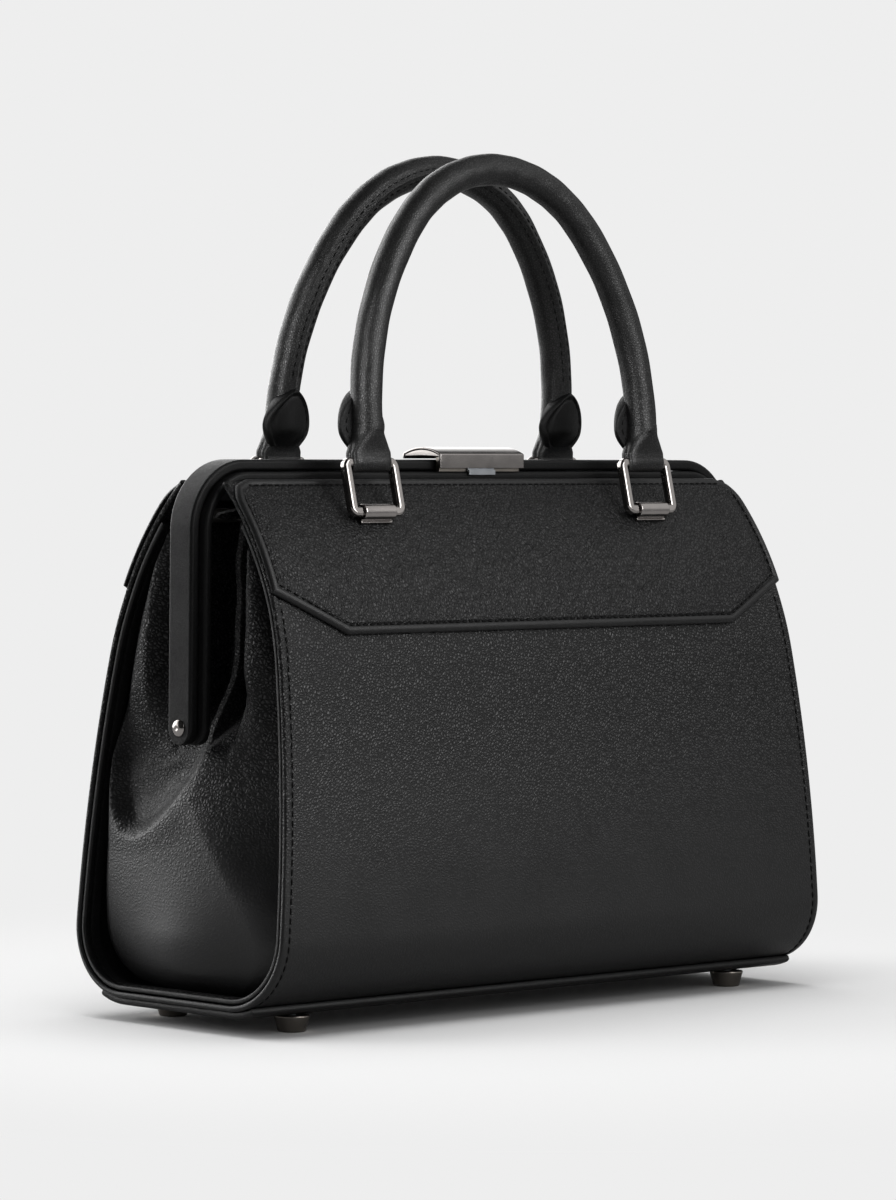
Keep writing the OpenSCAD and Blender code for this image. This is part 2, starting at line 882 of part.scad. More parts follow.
module rear_back_plates() {
    back_plates();
}

// Section of a ring's wire, square with round edges
module wire_section() {
    flat = wire_d - 2 * wire_edge_r;
    square([wire_d, flat], center = true);
    square([flat, wire_d], center = true);
    for (x = [-1, 1], y = [-1, 1])
        translate([x * flat / 2, y * flat / 2]) circle(r = wire_edge_r);
}

// A ring stands on its lower bar; both bars are round, for the bridge and the strap
module ring_body() {
    straight_x = ring_half - ring_bend_r;
    color(gunmetal) {
        for (z = [0, ring_h])
            translate([0, 0, z])
                rotate([0, 90, 0])
                    cylinder(d = wire_d, h = 2 * straight_x, center = true);
        for (x = [-1, 1])
            translate([x * ring_half, 0, ring_bend_r])
                linear_extrude(height = ring_h - 2 * ring_bend_r)
                    wire_section();
        for (x = [0, 1], z = [0, 1])
            mirror([x, 0, 0])
                translate([straight_x, 0, z == 0 ? ring_bend_r : ring_h - ring_bend_r])
                    rotate([90, z == 0 ? 90 : 0, 0])
                        rotate_extrude(angle = 90)
                            translate([ring_bend_r, 0])
                                wire_section();
    }
}

module at_ring(side) {
    translate([side * ring_pitch / 2, bridge_y, bridge_z])
        rotate([ring_lean, 0, 0])
            children();
}

module front_left_ring() {
    at_front() at_ring(-1) ring_body();
}

module front_right_ring() {
    at_front() at_ring(1) ring_body();
}

module rear_left_ring() {
    at_ring(-1) ring_body();
}

module rear_right_ring() {
    at_ring(1) ring_body();
}

// Handle frame: origin between the rings, on the axis of their upper bars
module at_handle() {
    translate([0, ring_top_y, ring_top_z])
        rotate([handle_lean, 0, 0])
            children();
}

// The handle's line as a solid rod: straight ends, two flanks and a crown, all tangent.
// The arcs stop a hair short of each other, and a thin band joins each pair.
module handle_rod(d) {
    for (x = [0, 1])
        mirror([x, 0, 0]) {
            translate([handle_half, 0, strap_h])
                cylinder(d = d, h = handle_foot - strap_h);
            translate([handle_half - flank_r, 0, handle_foot])
                rotate([90, 0, 0]) {
                    rotate_extrude(angle = bend - arc_gap)
                        translate([flank_r, 0]) circle(d = d);
                    rotate([0, 0, bend])
                        translate([flank_r, 0, 0])
                            rotate([90, 0, 0])
                                cylinder(d = d + 2 * seam_band_t, h = seam_band_w, center = true);
                }
        }
    translate([0, 0, handle_foot + handle_rise - crown_r])
        rotate([90, 0, 0])
            rotate([0, 0, bend + arc_gap])
                rotate_extrude(angle = 180 - 2 * (bend + arc_gap))
                    translate([crown_r, 0]) circle(d = d);
}

module handle_cover() {
    color(leather)
        difference() {
            handle_rod(handle_d);
            handle_rod(handle_d - 2 * handle_t);
        }
}

module handle_core() {
    color(cloth)
        handle_rod(handle_d - 2 * handle_t);
}

// Half the leaf's width at one height above the ring's bar
function leaf_half(z) =
    z < leaf_mid
        ? mix(strap_w, leaf_w, ease((z - strap_h) / (leaf_mid - strap_h))) / 2
        : leaf_w / 2 * cos(90 * (z - leaf_mid) / (leaf_top - leaf_mid));

// The strap's loop round the ring, seen from the end: a neck, then a foot for the handle
module strap_section() {
    loop_out = loop_r + strap_t;
    neck = strap_h - handle_d / 4;
    circle(r = loop_out);
    polygon([[-loop_out, 0], [-neck_t / 2, neck], [-leaf_back - leaf_t, strap_h],
        [handle_d / 2, strap_h], [neck_t / 2, neck], [loop_out, 0]]);
}

// The leaf-shaped tab behind the handle: flat at its edges, and round over the handle
module leaf() {
    heights = [for (i = [0:12]) mix(strap_h - strap_t, leaf_top, i / 12)];
    intersection() {
        translate([0, -leaf_back, 0])
            rotate([90, 0, 0])
                linear_extrude(height = handle_d)
                    polygon(both_sides([for (z = heights) [leaf_half(z), z]]));
        union() {
            translate([-leaf_w, -leaf_back - leaf_t, 0]) cube([2 * leaf_w, leaf_t + cut, 2 * leaf_top]);
            translate([0, 0, strap_h])
                cylinder(d = handle_d + 2 * cuff_t, h = leaf_top);
        }
    }
}

// Strap and leaf are one piece of leather, sewn round the handle's end
module strap() {
    color(leather)
        difference() {
            union() {
                intersection() {
                    rotate([90, 0, 90])
                        linear_extrude(height = strap_w, center = true)
                            strap_section();
                    seen_from_front(both_sides([[strap_w / 2, -handle_d], [strap_w / 2, strap_h / 2],
                        [handle_d / 2 + cuff_t, strap_h], [0, strap_h]]));
                }
                leaf();
            }
            rotate([0, 90, 0]) cylinder(r = loop_r, h = strap_w + 2 * cut, center = true);
            translate([-handle_half, 0, 0]) handle_rod(handle_d);
        }
}

module at_strap(side) {
    at_handle()
        translate([side * handle_half, 0, 0])
            mirror([side < 0 ? 1 : 0, 0, 0])
                children();
}

module front_handle_cover() {
    at_front() at_handle() handle_cover();
}

module front_handle_core() {
    at_front() at_handle() handle_core();
}

module front_left_strap() {
    at_front() at_strap(-1) strap();
}

module front_right_strap() {
    at_front() at_strap(1) strap();
}

module rear_handle_cover() {
    at_handle() handle_cover();
}

module rear_handle_core() {
    at_handle() handle_core();
}

module rear_left_strap() {
    at_strap(-1) strap();
}

module rear_right_strap() {
    at_strap(1) strap();
}

// The upright plate of the latch, which stands on the inner bar behind the cap's lip
module latch_plate() {
    color(dark_metal) {
        difference() {
            translate([-plate_half, plate_front, inner_top])
                cube([2 * plate_half, plate_back - plate_front, plate_top - inner_top]);
            translate([-nose_w / 2 - slide_gap, plate_front - cut, nose_z - nose_h / 2 - slide_gap])
                cube([nose_w + button_travel + 2 * slide_gap, cut + reach, nose_h + 2 * slide_gap]);
            translate([-arm_w - slide_gap, plate_front - cut, spring_z - spring_d / 2 - slide_gap])
                cube([arm_w + button_travel + 2 * slide_gap, cut + reach, reach]);
        }
        translate([lug_x + spring_d, plate_front, cap_low])
            cube([spring_d, spring_y + spring_d / 2 - plate_front, plate_top - cap_low]);
    }
}

module latch_cap() {
    color(gunmetal)
        difference() {
            rotate([90, 0, 90])
                linear_extrude(height = cap_w, center = true)
                    cap_outline();
            rotate([90, 0, 90])
                linear_extrude(height = cap_w - 2 * cap_t, center = true)
                    cap_hollow();
        }
}

// Section of the cap: an arc over the bars, with a lip in front
module cap_outline() {
    intersection() {
        translate([0, cap_top - cap_r]) circle(r = cap_r, $fn = 160);
        translate([-cap_half_d, cap_low]) square([cap_d, reach]);
    }
    translate([-cap_half_d, lip_low]) square([cap_t, cap_edge - lip_low]);
}

module cap_hollow() {
    intersection() {
        translate([0, cap_top - cap_r]) circle(r = cap_r - cap_t, $fn = 160);
        translate([cap_t - cap_half_d, cap_low - cut]) square([cap_d - 2 * cap_t, reach]);
    }
}

// Button, blade, bolt nose and spring arm in one sliding piece
module latch_slider() {
    blade_low = inner_top + slide_gap;
    color(gunmetal) {
        translate([-button_w / 2, -cap_half_d, button_top - button_h])
            cube([button_w, blade_front + cap_half_d, button_h]);
        translate([-button_w / 2, blade_front - slide_gap, blade_low])
            cube([button_w, blade_t + slide_gap, nose_z + nose_h / 2 - blade_low]);
        translate([-nose_w / 2, blade_front, nose_z - nose_h / 2])
            cube([nose_w, outer_front + nose_reach - blade_front, nose_h]);
        translate([-arm_w, blade_front, nose_z - nose_h / 2])
            cube([arm_w, blade_t, spring_z + spring_d / 2 - nose_z + nose_h / 2]);
        translate([-arm_w, blade_front, spring_z - spring_d / 2])
            cube([arm_w, spring_y + spring_d / 2 - blade_front, spring_d]);
    }
}

// The spring that returns the slider, shown as its outer sleeve
module latch_spring() {
    color(steel)
        translate([0, spring_y, spring_z])
            rotate([0, 90, 0])
                cylinder(d = spring_d, h = lug_x + spring_d);
}

// A slotted steel pocket set in the outer bar's front face
module keeper_block(wall) {
    translate([-nose_w / 2 - slide_gap - keeper_t + wall, outer_front - (wall > 0 ? cut : 0),
        nose_z - nose_h / 2 - slide_gap - keeper_t + wall])
        cube([nose_w + button_travel + 2 * (slide_gap + keeper_t - wall),
            pocket_depth + keeper_t - wall + (wall > 0 ? cut : 0),
            nose_h + 2 * (slide_gap + keeper_t - wall)]);
}

module latch_keeper() {
    color(steel)
        difference() {
            keeper_block(0);
            keeper_block(keeper_t);
        }
}

front_panel();
rear_panel();
base_patch();
left_edge_binding();
right_edge_binding();
left_gusset();
right_gusset();
left_gusset_fold();
right_gusset_fold();
base_board();
front_board();
rear_board();
lining();
left_lining_end();
right_lining_end();
slip_pocket();
feet();
foot_screws();
left_hinge_rivet();
right_hinge_rivet();
hinge_washers();
front_frame_core();
front_frame_cover();
front_rail();
front_facing();
front_yoke();
front_left_bridge();
front_right_bridge();
front_back_plates();
latch_plate();
latch_cap();
latch_slider();
latch_spring();
latch_keeper();
rear_frame_core();
rear_frame_cover();
rear_rail();
rear_facing();
rear_yoke();
rear_left_bridge();
rear_right_bridge();
rear_back_plates();
front_left_ring();
front_right_ring();
rear_left_ring();
rear_right_ring();
front_handle_cover();
front_handle_core();
front_left_strap();
front_right_strap();
rear_handle_cover();
rear_handle_core();
rear_left_strap();
rear_right_strap();
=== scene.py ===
# %% [markdown]
# # A framed top handle bag, dressed
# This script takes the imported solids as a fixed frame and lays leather, thread, metal and cloth over them.
# Every piece is a surface worked out with numpy, so each cell is a short lesson in one form.
# Lengths are in millimetres until a mesh is made. X runs along the front, the front faces -Y, and Z is up.

# %% The frame and its box
import json
import bpy
import numpy as np
from mathutils import Matrix, Vector

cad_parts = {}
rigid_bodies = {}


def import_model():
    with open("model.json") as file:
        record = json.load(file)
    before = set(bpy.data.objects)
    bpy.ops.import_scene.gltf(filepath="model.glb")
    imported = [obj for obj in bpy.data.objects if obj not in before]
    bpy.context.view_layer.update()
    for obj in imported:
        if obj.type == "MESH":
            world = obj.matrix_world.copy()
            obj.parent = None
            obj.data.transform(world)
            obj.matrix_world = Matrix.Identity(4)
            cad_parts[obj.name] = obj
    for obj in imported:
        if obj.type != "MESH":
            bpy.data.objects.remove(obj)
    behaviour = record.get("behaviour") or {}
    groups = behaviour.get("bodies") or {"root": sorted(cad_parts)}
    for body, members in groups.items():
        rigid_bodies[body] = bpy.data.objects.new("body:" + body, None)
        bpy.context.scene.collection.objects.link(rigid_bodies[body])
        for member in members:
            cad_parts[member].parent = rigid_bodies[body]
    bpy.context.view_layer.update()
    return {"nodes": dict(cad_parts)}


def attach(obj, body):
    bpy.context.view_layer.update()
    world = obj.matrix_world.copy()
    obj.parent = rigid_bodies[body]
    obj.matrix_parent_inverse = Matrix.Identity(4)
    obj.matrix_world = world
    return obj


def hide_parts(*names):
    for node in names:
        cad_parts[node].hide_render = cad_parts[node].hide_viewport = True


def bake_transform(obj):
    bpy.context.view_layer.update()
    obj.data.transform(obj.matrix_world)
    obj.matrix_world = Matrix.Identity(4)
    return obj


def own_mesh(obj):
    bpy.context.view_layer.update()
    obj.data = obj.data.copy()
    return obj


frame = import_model()
MM = 0.001
FRONT, REAR = -1, 1
SIDES = {"front": FRONT, "rear": REAR}
HANDS = {"left": -1, "right": 1}
CORNERS = [(part, side, word, hand) for part, side in SIDES.items() for word, hand in HANDS.items()]

# %% [markdown]
# ## Camera
# The photograph looks at the bag's front left corner from a little above, through a long lens, so that its
# uprights stay upright. The camera is built from its three axes, which is plainer than turning it by angles:
# back points from the bag to the camera, right runs across the picture, and up completes them.

# %% Camera
azimuth, elevation, roll = np.radians([-45.0, 2.07, 0.61])
distance, aside, aim_height, focal_length, film_height = 1929.6, -5.265, 148.9, 156.0, 36.0


def new_object(name, data):
    """An object in the scene that carries the data."""
    thing = bpy.data.objects.new(name, data)
    bpy.context.scene.collection.objects.link(thing)
    return thing


back = np.array([np.sin(azimuth) * np.cos(elevation), -np.cos(azimuth) * np.cos(elevation), np.sin(elevation)])
right = np.array([np.cos(azimuth), np.sin(azimuth), 0.0])
up = np.cross(back, right)
axes = np.eye(4)
axes[:3, 0] = right * np.cos(roll) + up * np.sin(roll)
axes[:3, 1] = up * np.cos(roll) - right * np.sin(roll)
axes[:3, 2] = back
axes[:3, 3] = (right * aside + np.array([0.0, 0.0, aim_height]) + back * distance) * MM
lens = bpy.data.cameras.new("long_lens")
lens.sensor_fit, lens.sensor_height, lens.lens = "VERTICAL", film_height, focal_length
camera = new_object("photo_camera", lens)
camera.matrix_world = Matrix(axes.tolist())
bpy.context.scene.camera = camera
print("camera at", np.round(axes[:3, 3], 3))

# %% [markdown]
# ## Nodes and colours
# A material is a small network of nodes. One function adds a node, sets its properties and fills or links its
# inputs. Colours are written as hex, as a painter would pick them, and turned to linear light for the shader.

# %% Helpers for materials
def linear(hex_colour):
    """sRGB hex to linear RGBA: c / 12.92 when dark, ((c + 0.055) / 1.055) ** 2.4 otherwise."""
    c = np.array([int(hex_colour[i:i + 2], 16) for i in (1, 3, 5)]) / 255
    return (*np.where(c <= 0.04045, c / 12.92, ((c + 0.055) / 1.055) ** 2.4), 1.0)


def fill(tree, node, inputs):
    """Sets a node's inputs, by name or number. A socket, or a node's first output, is linked; a value is kept."""
    for key, value in dict(inputs).items():
        if isinstance(value, bpy.types.Node):
            value = value.outputs[0]
        if isinstance(value, bpy.types.NodeSocket):
            tree.links.new(value, node.inputs[key])
        else:
            node.inputs[key].default_value = value


def add(tree, kind, inputs=(), **settings):
    """Adds a node: settings are its properties, and inputs are filled in."""
    node = tree.nodes.new("ShaderNode" + kind)
    for name, value in settings.items():
        setattr(node, name, value)
    fill(tree, node, inputs)
    return node


def new_material(name):
    """An empty material: (material, tree, principled shader, the place on the object)."""
    material = bpy.data.materials.new(name)
    material.use_nodes = True
    tree = material.node_tree
    tree.nodes.clear()
    shader = add(tree, "BsdfPrincipled")
    add(tree, "OutputMaterial", {"Surface": shader})
    return material, tree, shader, add(tree, "TexCoord").outputs["Object"]


def noise(tree, place, size, detail, **more):
    """Noise whose features are size mm wide."""
    return add(tree, "TexNoise", {"Vector": place, "Scale": 1 / (size * MM), "Detail": detail, **more})


def spread(tree, value, start, end, low, high, kind="LINEAR"):
    """Carries the range from start to end over to low to high."""
    return add(tree, "MapRange", {0: value, 1: start, 2: end, 3: low, 4: high}, interpolation_type=kind)


def tint(tree, share, dark, light):
    """The colour at a share of the way between two hex colours."""
    return add(tree, "Mix", {0: share, 6: linear(dark), 7: linear(light)}, data_type="RGBA").outputs[2]


def bump(tree, height, deep, strength, **under):
    """Relief deep mm high, which may lie on another relief (Normal)."""
    return add(tree, "Bump", {"Height": height, "Distance": deep * MM, "Strength": strength, **under})


# %% [markdown]
# ## Leather
# The shell is chrome-tanned calf, milled in a drum until its grain stands up in small pebbles, then dyed
# through and finished matte black. Three layers of relief make it: pebbles a millimetre across with creases
# between them, a fine pore texture on top, and long soft wrinkles where the hide was drawn. The creases are
# painted darker and less shiny than the pebbles, as painted shade, and all of the grain flattens where the hide is
# drawn tight at the foot of the bag.

# %% Leather material
def leather(name, dark, light, pebble, relief, wrinkle=0.0, rough=0.42, level=0.4, stretch=(1.0, 1.0, 1.0), taut=1.0,
            hollow=0.6):
    """Pebbled leather. Its cells are pebble mm wide, its creases relief mm deep and its wrinkles wrinkle mm deep.
    taut is the share of the relief left at the foot of the bag, and hollow that of the shine left in the creases."""
    material, tree, shader, place = new_material(name)
    if stretch != (1.0, 1.0, 1.0):
        place = add(tree, "Mapping", {"Vector": place, "Scale": stretch}).outputs[0]
    drift = noise(tree, place, pebble / 0.35, 2.0).outputs["Color"]
    offset = add(tree, "VectorMath", {0: drift, 1: (0.5, 0.5, 0.5)}, operation="SUBTRACT")
    shift = add(tree, "VectorMath", {0: offset, "Scale": 1.6 * pebble * MM}, operation="SCALE")
    bent = add(tree, "VectorMath", {0: place, 1: shift}, operation="ADD").outputs[0]
    cells = add(tree, "TexVoronoi", {"Vector": bent, "Scale": 1 / (pebble * MM)}, feature="DISTANCE_TO_EDGE")
    dome = spread(tree, cells, 0.0, 0.42, 0.0, 1.0, "SMOOTHSTEP")
    height = add(tree, "SeparateXYZ", {0: place}).outputs["Z"]
    drawn = spread(tree, height, 0.03, 0.125, taut, 1.0, "SMOOTHSTEP")
    # Where the hide is taut its creases are shallow, so their painted shade fades and they are no duller than the
    # pebbles
    even = add(tree, "Mix", {0: drawn, 2: 0.6, 3: dome})
    pores = noise(tree, place, pebble / 2.6, 3.0)
    broad = noise(tree, place, pebble / 0.05, 3.0)
    colour = tint(tree, spread(tree, broad, 0.3, 0.7, 0.0, 1.0), dark, light)
    # The base colour is painted darker in the creases: painted shade where less light reaches into them
    crease = spread(tree, even, 0.0, 1.0, 0.3, 1.0)
    colour_with_painted_shade = add(tree, "VectorMath", {0: colour, "Scale": crease.outputs[0]}, operation="SCALE")
    polish = spread(tree, broad, 0.3, 0.7, rough - 0.04, rough + 0.05)
    dull = spread(tree, even, 0.0, 1.0, 0.15, 0.0)
    polish = add(tree, "Math", {0: polish, 1: dull}, operation="ADD")
    skin = bump(tree, pores, 0.15 * relief, 0.5)
    skin = bump(tree, dome, relief, drawn, Normal=skin)
    if wrinkle:
        folds = noise(tree, bent, pebble / 0.2, 1.0, Distortion=1.4)
        ridge = add(tree, "Math", {0: folds, 1: 0.5}, operation="SUBTRACT")
        sharp = add(tree, "Math", {0: ridge}, operation="ABSOLUTE")
        line = spread(tree, sharp, 0.0, 0.09, 0.0, 1.0, "SMOOTHSTEP")
        skin = bump(tree, line, wrinkle, 0.8, Normal=skin)
    # The finish is matte, so the surface mirrors less than bare varnish would; in the creases the shine is cut
    # further, as painted shade
    shine = spread(tree, even, 0.0, 0.5, hollow * level, level)
    fill(tree, shader, {"Base Color": colour_with_painted_shade, "Roughness": polish, "Normal": skin, "IOR": 1.48,
                        "Specular IOR Level": shine})
    return material


BLACK, SOFT_BLACK, BROADER = "#0e0e0f", "#131314", (0.85, 0.85, 1.0)
# Milled calf, with pebbles 1.15 mm high and a little broader, on the big panels
pebbled_calf = leather("milled_calf", BLACK, SOFT_BLACK, 1.15, 0.19, rough=0.38, level=0.41, stretch=BROADER,
                       taut=0.25, hollow=0.4)
# The ends are in a softer side of the same calf, left untaut, so its pebbles stand higher
slack_calf = leather("slack_milled_calf", BLACK, SOFT_BLACK, 1.25, 0.27, rough=0.38, level=0.42, stretch=BROADER,
                     taut=0.12, hollow=0.35)
# The yoke is cut along the hide, where the grain runs in short upright wrinkles
drawn_calf = leather("drawn_calf", BLACK, SOFT_BLACK, 1.15, 0.18, wrinkle=0.22, rough=0.38, level=0.33,
                     stretch=(1.0, 1.0, 0.8), hollow=0.45)
# Handles are rolled in a thinner, tighter grained calf
rolled_calf = leather("tight_grain_calf", "#0d0d0d", "#121212", 0.9, 0.045, rough=0.32, level=0.42, hollow=0.6)
# Frame bars and straps are in smooth calf, whose pores are too fine to see apart
smooth_calf = leather("smooth_calf", BLACK, "#121213", 0.5, 0.03, rough=0.42, level=0.18, hollow=0.8)
# The leaves behind the handle's ends are in a duller black calf
leaf_calf = leather("dull_smooth_calf", "#0a0a0a", "#0d0d0d", 0.5, 0.03, rough=0.4, level=0.2, hollow=0.8)
# Turned and painted edges: smooth, slightly glossier than the grain side
edge_calf = leather("edge_painted_calf", "#101011", "#141415", 0.6, 0.03, rough=0.36, level=0.36, hollow=0.8)
print("leathers made")

# %% [markdown]
# ## Thread
# The seams are sewn in bonded black nylon. It is darker than the leather, partly its own black and partly painted
# shade for the stitch holes and the pressed groove it sits in, which is why a seam reads as a row of dark dashes.

# %% Thread material
thread, tree, shader, place = new_material("bonded_nylon_thread")
# Real plies are 0.2 mm apart and too fine to show, so the twist is drawn at 0.5 mm
twist = noise(tree, place, 0.5, 1.0)
ply_with_painted_shade = tint(tree, twist, "#030303", "#080808")
# The thread lies sunk between two lips of leather; the light they keep from it is painted in as a darker colour and a
# cut shine
fill(tree, shader, {"Base Color": ply_with_painted_shade, "Normal": bump(tree, twist, 0.05, 0.6), "Roughness": 0.7, "IOR": 1.5,
                    "Specular IOR Level": 0.12})

# %% [markdown]
# ## Metal
# The rings, bridges, latch and rivets are zinc and steel, polished and plated in gunmetal: a dark grey mirror
# with a trace of warmth, a little broken by handling. The feet have the same plating over a satin turning,
# and the hidden steel is bare and brushed.

# %% Metal materials
def plated(name, low, high, rough_low, rough_high, grit, scratch):
    """Plated metal: colour and roughness drift over a few mm, and a fine grit of grit mm breaks the mirror."""
    material, tree, shader, place = new_material(name)
    drift = noise(tree, place, 6, 3.0)
    colour = tint(tree, drift, low, high)
    polish = spread(tree, drift, 0.3, 0.7, rough_low, rough_high)
    grain = noise(tree, place, grit, 2.0)
    fill(tree, shader, {"Base Color": colour, "Roughness": polish, "Normal": bump(tree, grain, scratch, 0.5),
                        "Metallic": 1.0})
    return material


gunmetal = plated("gunmetal_plating", "#8f8b89", "#a19c99", 0.14, 0.22, 0.8, 0.004)
satin_gunmetal = plated("satin_gunmetal_plating", "#7a756f", "#8b857e", 0.26, 0.36, 0.5, 0.01)
bare_steel = plated("bare_brushed_steel", "#8c8f93", "#a3a6aa", 0.3, 0.45, 0.4, 0.01)
print("metals made")

# %% [markdown]
# ## Lining, board and cord
# The lining is a dark plain-weave cotton, 0.6 mm from thread to thread. The stiffeners are fibreboard dyed
# black, and the handles are rolled round a twisted cord. They hardly show, but an open bag lets light in.

# %% Cloth, board and cord materials
cotton, tree, shader, place = new_material("woven_cotton_lining")
warp, weft = (add(tree, "TexWave", {"Vector": place, "Scale": 2.0 / (6.28 * 0.6 * MM), "Distortion": 0.4},
                  bands_direction=way).outputs["Fac"] for way in "XZ")
weave = add(tree, "Math", {0: warp, 1: weft}, operation="MULTIPLY")
dye = tint(tree, weave, "#24211e", "#3d3935")
fill(tree, shader, {"Base Color": dye, "Normal": bump(tree, weave, 0.1, 0.7), "Roughness": 0.85,
                    "Sheen Weight": 0.25})


def fibrous(name, size, detail, dark, light):
    """A dull stuff of fibres, mottled size mm apart."""
    material, tree, shader, place = new_material(name)
    fill(tree, shader, {"Base Color": tint(tree, noise(tree, place, size, detail), dark, light), "Roughness": 0.9})
    return material


fibreboard = fibrous("pressed_fibreboard", 1.5, 4.0, "#1d1a17", "#2a2621")
twisted_cord = fibrous("twisted_cotton_cord", 1.2, 2.0, "#54504a", "#6b665e")

# %% [markdown]
# ## Making a mesh from grids
# A sheet of leather is two grids of points, one for its grain side and one for its flesh side, joined round
# the border. A rod is one grid that wraps round, with both ends closed to a point. Which way the faces point
# is not guessed: the volume inside a closed mesh is positive only if they point out, so it is measured.

# %% Mesh helpers
def grid_of(*parts):
    """One array of points from the arrays of their coordinates."""
    return np.stack(np.broadcast_arrays(*parts), -1)


def volume(points, quads):
    """Signed volume inside a closed mesh: the sum of a . (b x c) / 6 over its triangles."""
    a, b, c, d = (points[quads[:, k]] for k in range(4))
    return (np.einsum("ij,ij->i", a, np.cross(b, c)) + np.einsum("ij,ij->i", a, np.cross(c, d))).sum() / 6


def piece(name, points, quads, material, rider=None, normals=None, weighted=False):
    """A smooth mesh from points in mm and quads, faces outward; a quad with a repeated corner is a triangle."""
    if volume(points, quads) < 0:
        quads = quads[:, ::-1]
    corners = (tuple(dict.fromkeys(quad)) for quad in quads.tolist())
    mesh = bpy.data.meshes.new(name)
    mesh.from_pydata((points * MM).tolist(), [], [face for face in corners if len(face) > 2])
    mesh.polygons.foreach_set("use_smooth", np.ones(len(mesh.polygons), bool))
    if normals is not None:
        mesh.normals_split_custom_set_from_vertices(normals.tolist())
    mesh.materials.append(material)
    thing = new_object(name, mesh)
    if weighted:
        thing.modifiers.new("flat_faces", "WEIGHTED_NORMAL").weight = 90
    if rider:
        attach(thing, rider)
    return thing


def sheet(name, grain, flesh, material, rider=None, normals=None, weighted=False):
    """A closed sheet from two grids of the same shape: grain side, flesh side, and the rim between them."""
    rows, cols = grain.shape[:2]
    half = rows * cols
    index = np.arange(half).reshape(rows, cols)
    a = index[:-1, :-1].ravel()
    face = grid_of(a, a + 1, a + cols + 1, a + cols)
    rim = np.concatenate([index[0, :-1], index[:-1, -1], index[-1, :0:-1], index[:0:-1, 0]])
    after = np.roll(rim, -1)
    quads = np.concatenate([face, face[:, ::-1] + half, grid_of(rim, rim + half, after + half, after)])
    points = np.concatenate([grain.reshape(-1, 3), flesh.reshape(-1, 3)])
    return piece(name, points, quads, material, rider, normals, weighted)


def tube_quads(rows, cols, closed=False):
    """Faces of a grid that wraps round its columns, and round its rows too when closed."""
    i, j = np.mgrid[0:rows if closed else rows - 1, 0:cols]
    after, side = (i + 1) % rows, (j + 1) % cols
    return grid_of(i * cols + j, i * cols + side, after * cols + side, after * cols + j).reshape(-1, 4)


def tip_quads(rows, cols):
    """Faces from both end rows of a tube to its two tips, the points that follow the grid."""
    first, tip = np.arange(cols), rows * cols
    last = first + tip - cols
    return np.concatenate([grid_of(first, tip, tip, np.roll(first, -1)),
                           grid_of(last, np.roll(last, -1), tip + 1, tip + 1)])


def rod(name, grid, material, rider=None, closed=False, weighted=False):
    """A rod from a grid that wraps round its columns; its ends close to their middles, or it is a ring."""
    rows, cols = grid.shape[:2]
    quads, points = tube_quads(rows, cols, closed), grid.reshape(-1, 3)
    if not closed:
        quads = np.concatenate([quads, tip_quads(rows, cols)])
        points = np.concatenate([points, [grid[0].mean(0), grid[-1].mean(0)]])
    return piece(name, points, quads, material, rider, weighted=weighted)


def add_slot(thing, material, where):
    """A second material on the faces that where picks; it has a truth for each face, from the first on."""
    thing.data.materials.append(material)
    slots = np.zeros(len(thing.data.polygons), int)
    slots[:len(where)] = where
    thing.data.polygons.foreach_set("material_index", slots)


def fine_ends(length, fine, step):
    """Distances from 0 to length: the given fine ones at both ends, and even steps between them."""
    fine = np.asarray(fine)
    middle = np.linspace(fine[-1], length - fine[-1], max(2, int(round((length - 2 * fine[-1]) / step)) + 1))
    return np.concatenate([fine, middle[1:-1], length - fine[::-1]])


# %% [markdown]
# ## The wall of the shell
# Seen from the end, each half of the shell is one line: flat under the base, round the base fold, up a side
# that leans in slowly, and over the shoulder. Three arcs that meet smoothly draw it. The line is measured by
# its length, so that leather laid along it keeps its size.

# %% Wall line
base_w, shoulder_w, top_w, shell_d = 285.6, 265.4, 262.0, 109.0
shell_z, shell_top, shoulder_z, waist_z, base_r = 8.7, 193.6, 150.0, 130.0, 26.0
lean_low, lean_mid = np.radians([1.0, 10.0])
fold_y, fold_z = shell_d / 2 - base_r, shell_z + base_r
side_y, side_z = fold_y + base_r * np.cos(lean_low), fold_z + base_r * np.sin(lean_low)
side_r = (waist_z - side_z) / (np.sin(lean_mid) - np.sin(lean_low))
side_cy, side_cz = side_y - side_r * np.cos(lean_low), side_z - side_r * np.sin(lean_low)
waist_y, top_y = side_cy + side_r * np.cos(lean_mid), 11.55
lean_top = 2 * np.arctan((waist_y - top_y) / (shell_top - waist_z)) - lean_mid
shoulder_r = (shell_top - waist_z) / (np.sin(lean_top) - np.sin(lean_mid))
shoulder_cy, shoulder_cz = waist_y - shoulder_r * np.cos(lean_mid), waist_z - shoulder_r * np.sin(lean_mid)

leans = np.concatenate([np.linspace(-np.pi / 2, lean_low, 120), np.linspace(lean_low, lean_mid, 120)[1:],
                        np.linspace(lean_mid, lean_top, 120)[1:]])
arc = np.searchsorted([lean_low, lean_mid], leans - 1e-9)
arc_y, arc_z = np.array([fold_y, side_cy, shoulder_cy])[arc], np.array([fold_z, side_cz, shoulder_cz])[arc]
arc_r = np.array([base_r, side_r, shoulder_r])[arc]
line_y = np.concatenate([[0.0], arc_y + arc_r * np.cos(leans)])
line_z = np.concatenate([[shell_z], arc_z + arc_r * np.sin(leans)])
line_lean = np.concatenate([[-np.pi / 2], leans])


def lengths(path):
    """Length along a path from its start to each of its points."""
    return np.concatenate([[0.0], np.cumsum(np.linalg.norm(np.diff(path, axis=0), axis=1))])


line_s = lengths(grid_of(line_y, line_z))
print("wall line", round(line_s[-1], 1), "mm, top lean", round(np.degrees(lean_top), 1))


